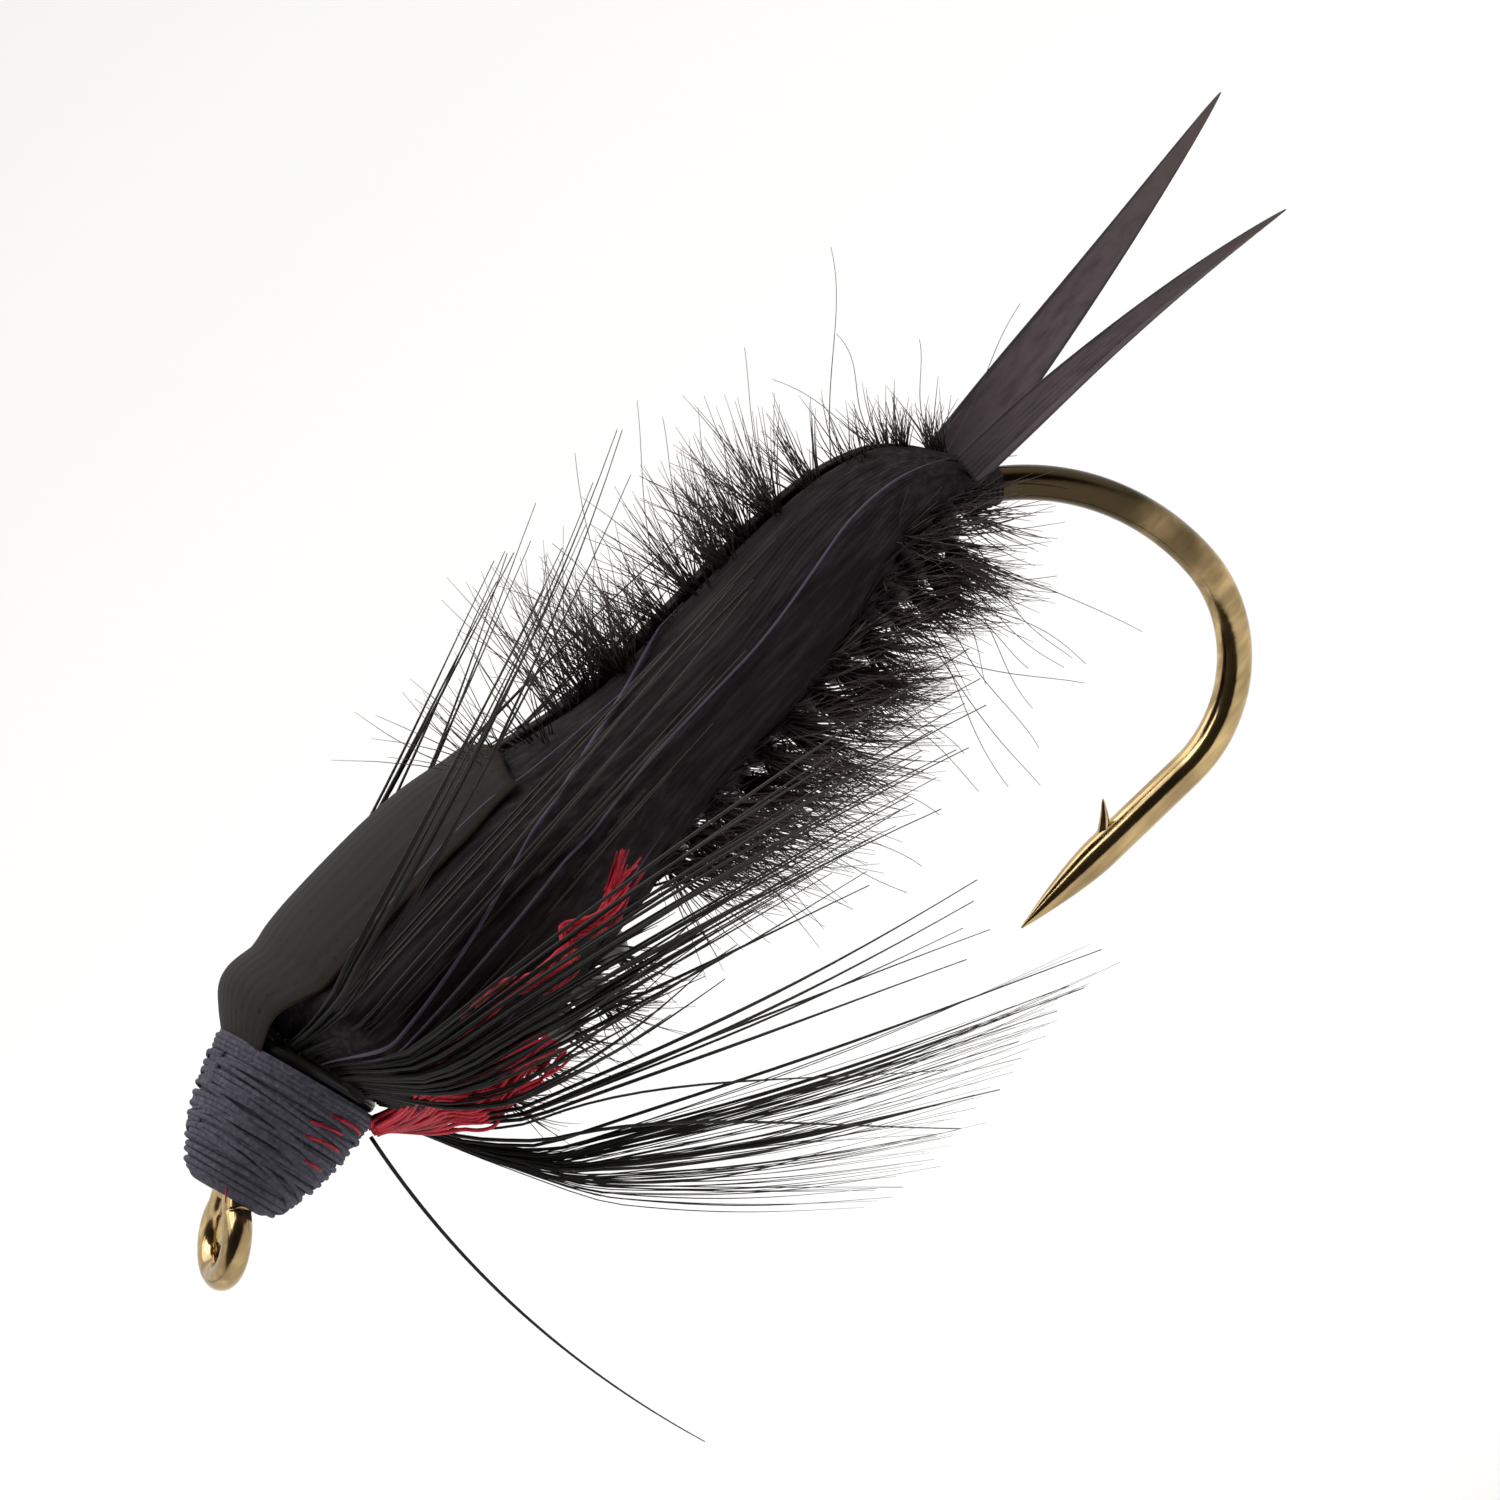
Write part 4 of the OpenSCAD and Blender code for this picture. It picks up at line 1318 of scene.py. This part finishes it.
def make_loose_hairs():
    """Loose hairs: very fine fibres that stand off round the bend and the belly."""
    rng = np.random.default_rng(41)
    shape = Shape()
    count = 34
    s = rng.uniform(12, ABDOMEN_END - 0.2, count)
    angle = np.radians(rng.choice([0, 165], count, p=[0.3, 0.7]) + rng.normal(0, 18, count))
    t = np.linspace(0, 1, 22)[None, :, None]
    long = rng.uniform(2.2, 4.8, count)[:, None, None]
    out = radial(s, angle)[:, None]
    rear = rearward(s)[:, None]
    around = np.cross(rear, out)
    wave = rng.normal(0, 0.35, (3, count, 1, 1))
    phase = rng.uniform(0, FULL_TURN, (count, 1, 1))
    root = round_body(s, skin(s) - 0.3, angle)[:, None]
    path = root + long * t * unit(out + 0.5 * wave[0] * around + (0.3 + wave[1]) * rear)
    path = path + 0.5 * t * np.sin(5 * t + phase) * (wave[2] * around + 0.4 * rear)
    radii = 0.014 * (1 - 0.5 * t[..., 0])
    add_tubes(shape, path, radii, around, 3, rng.uniform(0.5, 1, count))
    shape.piece("loose_hairs", "herl")


# ---------------------------------------------------------------- stage

def make_camera(settings):
    """Camera aimed at the middle of the fly from above and to its left, with a roll."""
    az, el, roll = settings.azimuth, settings.elevation, settings.roll
    back = Vector((math.sin(az) * math.cos(el), -math.cos(az) * math.cos(el), math.sin(el)))
    level = Vector((math.cos(az), math.sin(az), 0))
    top = back.cross(level)
    right = math.cos(roll) * level - math.sin(roll) * top
    up = math.sin(roll) * level + math.cos(roll) * top
    aim = Vector((14.30, 0, -0.88)) * MM
    seen_width, sensor = 29.85, 36
    camera = bpy.data.cameras.new("camera")
    camera.sensor_width = sensor
    camera.lens = sensor * settings.distance / seen_width
    camera.clip_start = 0.001
    camera.clip_end = 20
    made = bpy.data.objects.new("camera", camera)
    place = Matrix((right, up, back)).transposed().to_4x4()
    place.translation = aim + back * settings.distance * MM
    made.matrix_world = place
    bpy.context.scene.collection.objects.link(made)
    bpy.context.scene.camera = made
    return aim, right, up, back


def make_lamp(name, where, aim, size, power):
    """Square white area lamp that faces the aim."""
    lamp = bpy.data.lights.new(name, "AREA")
    lamp.size = size
    lamp.energy = power
    made = bpy.data.objects.new(name, lamp)
    place = (aim - where).to_track_quat("-Z", "Y").to_matrix().to_4x4()
    place.translation = where
    made.matrix_world = place
    bpy.context.scene.collection.objects.link(made)


def make_floor(settings):
    """Plain white floor under the fly."""
    mesh = bpy.data.meshes.new("floor")
    half = 2.0
    z = -settings.floor_drop * MM
    corners = [(-half, -half, z), (half, -half, z), (half, half, z), (-half, half, z)]
    mesh.from_pydata(corners, [], [(0, 1, 2, 3)])
    floor = bpy.data.objects.new("floor", mesh)
    bpy.context.scene.collection.objects.link(floor)
    f = Finish("floor_white")
    mesh.materials.append(f.close(base_color=(0.93, 0.925, 0.92, 1), roughness=0.8,
                                  specular_ior_level=0.1))


def make_world(back):
    """White surround, whose light darkens towards the front, to shape the gloss."""
    world = bpy.data.worlds.new("world")
    bpy.context.scene.world = world
    g = Graph(world)
    where = g.node("ShaderNodeTexCoord", output="Generated")
    facing = g.node("ShaderNodeVectorMath", {"operation": "DOT_PRODUCT"},
                    {0: where, 1: back}, output="Value")
    glow = g.ramp(facing, (0.0, (1.0, 1.0, 1.0, 1)), (0.22, (0.75, 0.74, 0.72, 1)),
                  (0.42, (0.08, 0.07, 0.06, 1)), (1.0, (0.03, 0.028, 0.025, 1)))
    lit = g.node("ShaderNodeBackground", inputs={"Color": glow, "Strength": 0.9})
    seen = g.node("ShaderNodeBackground", inputs={"Color": (1, 1, 1, 1), "Strength": 1.05})
    direct = g.node("ShaderNodeLightPath", output="Is Camera Ray")
    mix = g.node("ShaderNodeMixShader", inputs={0: direct, 1: lit, 2: seen})
    g.node("ShaderNodeOutputWorld", inputs={"Surface": mix}, output=None)


def make_stage(settings):
    """Floor, world, three soft lamps and the camera."""
    make_floor(settings)
    aim, right, up, back = make_camera(settings)
    make_world(back)
    make_lamp("key", aim + 0.16 * back + 0.22 * up - 0.20 * right, aim, 0.22, 0.38)
    make_lamp("fill", aim + 0.18 * back - 0.10 * up + 0.28 * right, aim, 0.24, 0.16)
    make_lamp("top", aim + Vector((0.02, 0.05, 0.40)), aim, 0.50, 1.12)
    bpy.context.scene.view_settings.view_transform = "Standard"


# ---------------------------------------------------------------- operators

class TiedFlyOperator:
    """What the operators share: each step can be undone."""
    bl_options = {"REGISTER", "UNDO"}


class FLY_OT_stage(TiedFlyOperator, bpy.types.Operator):
    """Set up the floor, the lamps and the camera"""
    bl_idname = "fly.stage"
    bl_label = "Stage"

    def execute(self, context):
        make_stage(context.scene.fly_stage)
        return {"FINISHED"}


class FLY_OT_hook(TiedFlyOperator, bpy.types.Operator):
    """Make the wire of the hook with its eye, bend, barb and point"""
    bl_idname = "fly.hook"
    bl_label = "Hook"

    def execute(self, context):
        make_hook()
        return {"FINISHED"}


class FLY_OT_thread(TiedFlyOperator, bpy.types.Operator):
    """Wind the base thread, the yarn underbody and the tail thread"""
    bl_idname = "fly.thread"
    bl_label = "Thread and Underbody"

    def execute(self, context):
        make_base_thread()
        make_underbody()
        make_tail_thread()
        return {"FINISHED"}


class FLY_OT_tail(TiedFlyOperator, bpy.types.Operator):
    """Make the two biots of the tail"""
    bl_idname = "fly.tail"
    bl_label = "Tail Biots"

    def execute(self, context):
        make_biot(hand=1, length=8.2, width=0.94, curl=-0.035)
        make_biot(hand=-1, length=10.7, width=1.16, curl=-0.01)
        return {"FINISHED"}


class FLY_OT_herl(TiedFlyOperator, bpy.types.Operator):
    """Wind the five strands of herl and raise their flues"""
    bl_idname = "fly.herl"
    bl_label = "Herl"

    def execute(self, context):
        make_herl(context.scene.fly_herl)
        make_loose_hairs()
        return {"FINISHED"}


class FLY_OT_quill(TiedFlyOperator, bpy.types.Operator):
    """Lay the wing slips along the flanks and pull the wing case over the thorax"""
    bl_idname = "fly.quill"
    bl_label = "Wing Slips and Case"

    def execute(self, context):
        settings = context.scene.fly_quill
        make_wing_slip(settings, hand=1)
        make_wing_slip(settings, hand=-1)
        make_wing_case()
        return {"FINISHED"}


class FLY_OT_hackle(TiedFlyOperator, bpy.types.Operator):
    """Wind the hackle stem and sweep back its barbs"""
    bl_idname = "fly.hackle"
    bl_label = "Hackle"

    def execute(self, context):
        make_hackle_stem()
        make_hackle(context.scene.fly_hackle)
        make_stray_barb(context.scene.fly_hackle)
        return {"FINISHED"}


class FLY_OT_throat(TiedFlyOperator, bpy.types.Operator):
    """Lay the crimson floss of the throat"""
    bl_idname = "fly.throat"
    bl_label = "Throat Floss"

    def execute(self, context):
        make_throat_floss()
        return {"FINISHED"}


class FLY_OT_head(TiedFlyOperator, bpy.types.Operator):
    """Wind the thread head and its whip finish"""
    bl_idname = "fly.head"
    bl_label = "Head"

    def execute(self, context):
        settings = context.scene.fly_head
        make_head(settings)
        make_whip_finish(settings)
        make_red_ends()
        return {"FINISHED"}


class FLY_PT_panel(bpy.types.Panel):
    """Lists the steps of the fly in tying order"""
    bl_idname = "FLY_PT_panel"
    bl_label = "Tied Fly"
    bl_space_type = "VIEW_3D"
    bl_region_type = "UI"
    bl_category = "Tied Fly"

    def draw(self, context):
        for step in STEPS:
            self.layout.operator(step.bl_idname)
        for group in SETTINGS:
            settings = getattr(context.scene, group)
            box = self.layout.box()
            for name in settings.__annotations__:
                box.prop(settings, name)


STEPS = (FLY_OT_stage, FLY_OT_hook, FLY_OT_thread, FLY_OT_tail, FLY_OT_herl, FLY_OT_quill,
         FLY_OT_throat, FLY_OT_hackle, FLY_OT_head)
SETTINGS = {"fly_colours": FlyColours, "fly_head": HeadSettings, "fly_herl": HerlSettings,
            "fly_quill": QuillSettings, "fly_hackle": HackleSettings,
            "fly_stage": StageSettings}


def register():
    """Registers the settings, the operators and the panel."""
    for name, group in SETTINGS.items():
        bpy.utils.register_class(group)
        setattr(bpy.types.Scene, name, PointerProperty(type=group))
    for kind in (*STEPS, FLY_PT_panel):
        bpy.utils.register_class(kind)


def unregister():
    """Removes what register added, in the other order."""
    for kind in reversed((*STEPS, FLY_PT_panel)):
        bpy.utils.unregister_class(kind)
    for name, group in reversed(SETTINGS.items()):
        delattr(bpy.types.Scene, name)
        bpy.utils.unregister_class(group)


def main():
    """Ties the fly step by step."""
    register()
    for step in STEPS:
        group, action = step.bl_idname.split(".")
        getattr(getattr(bpy.ops, group), action)()


if __name__ == "__main__":
    main()
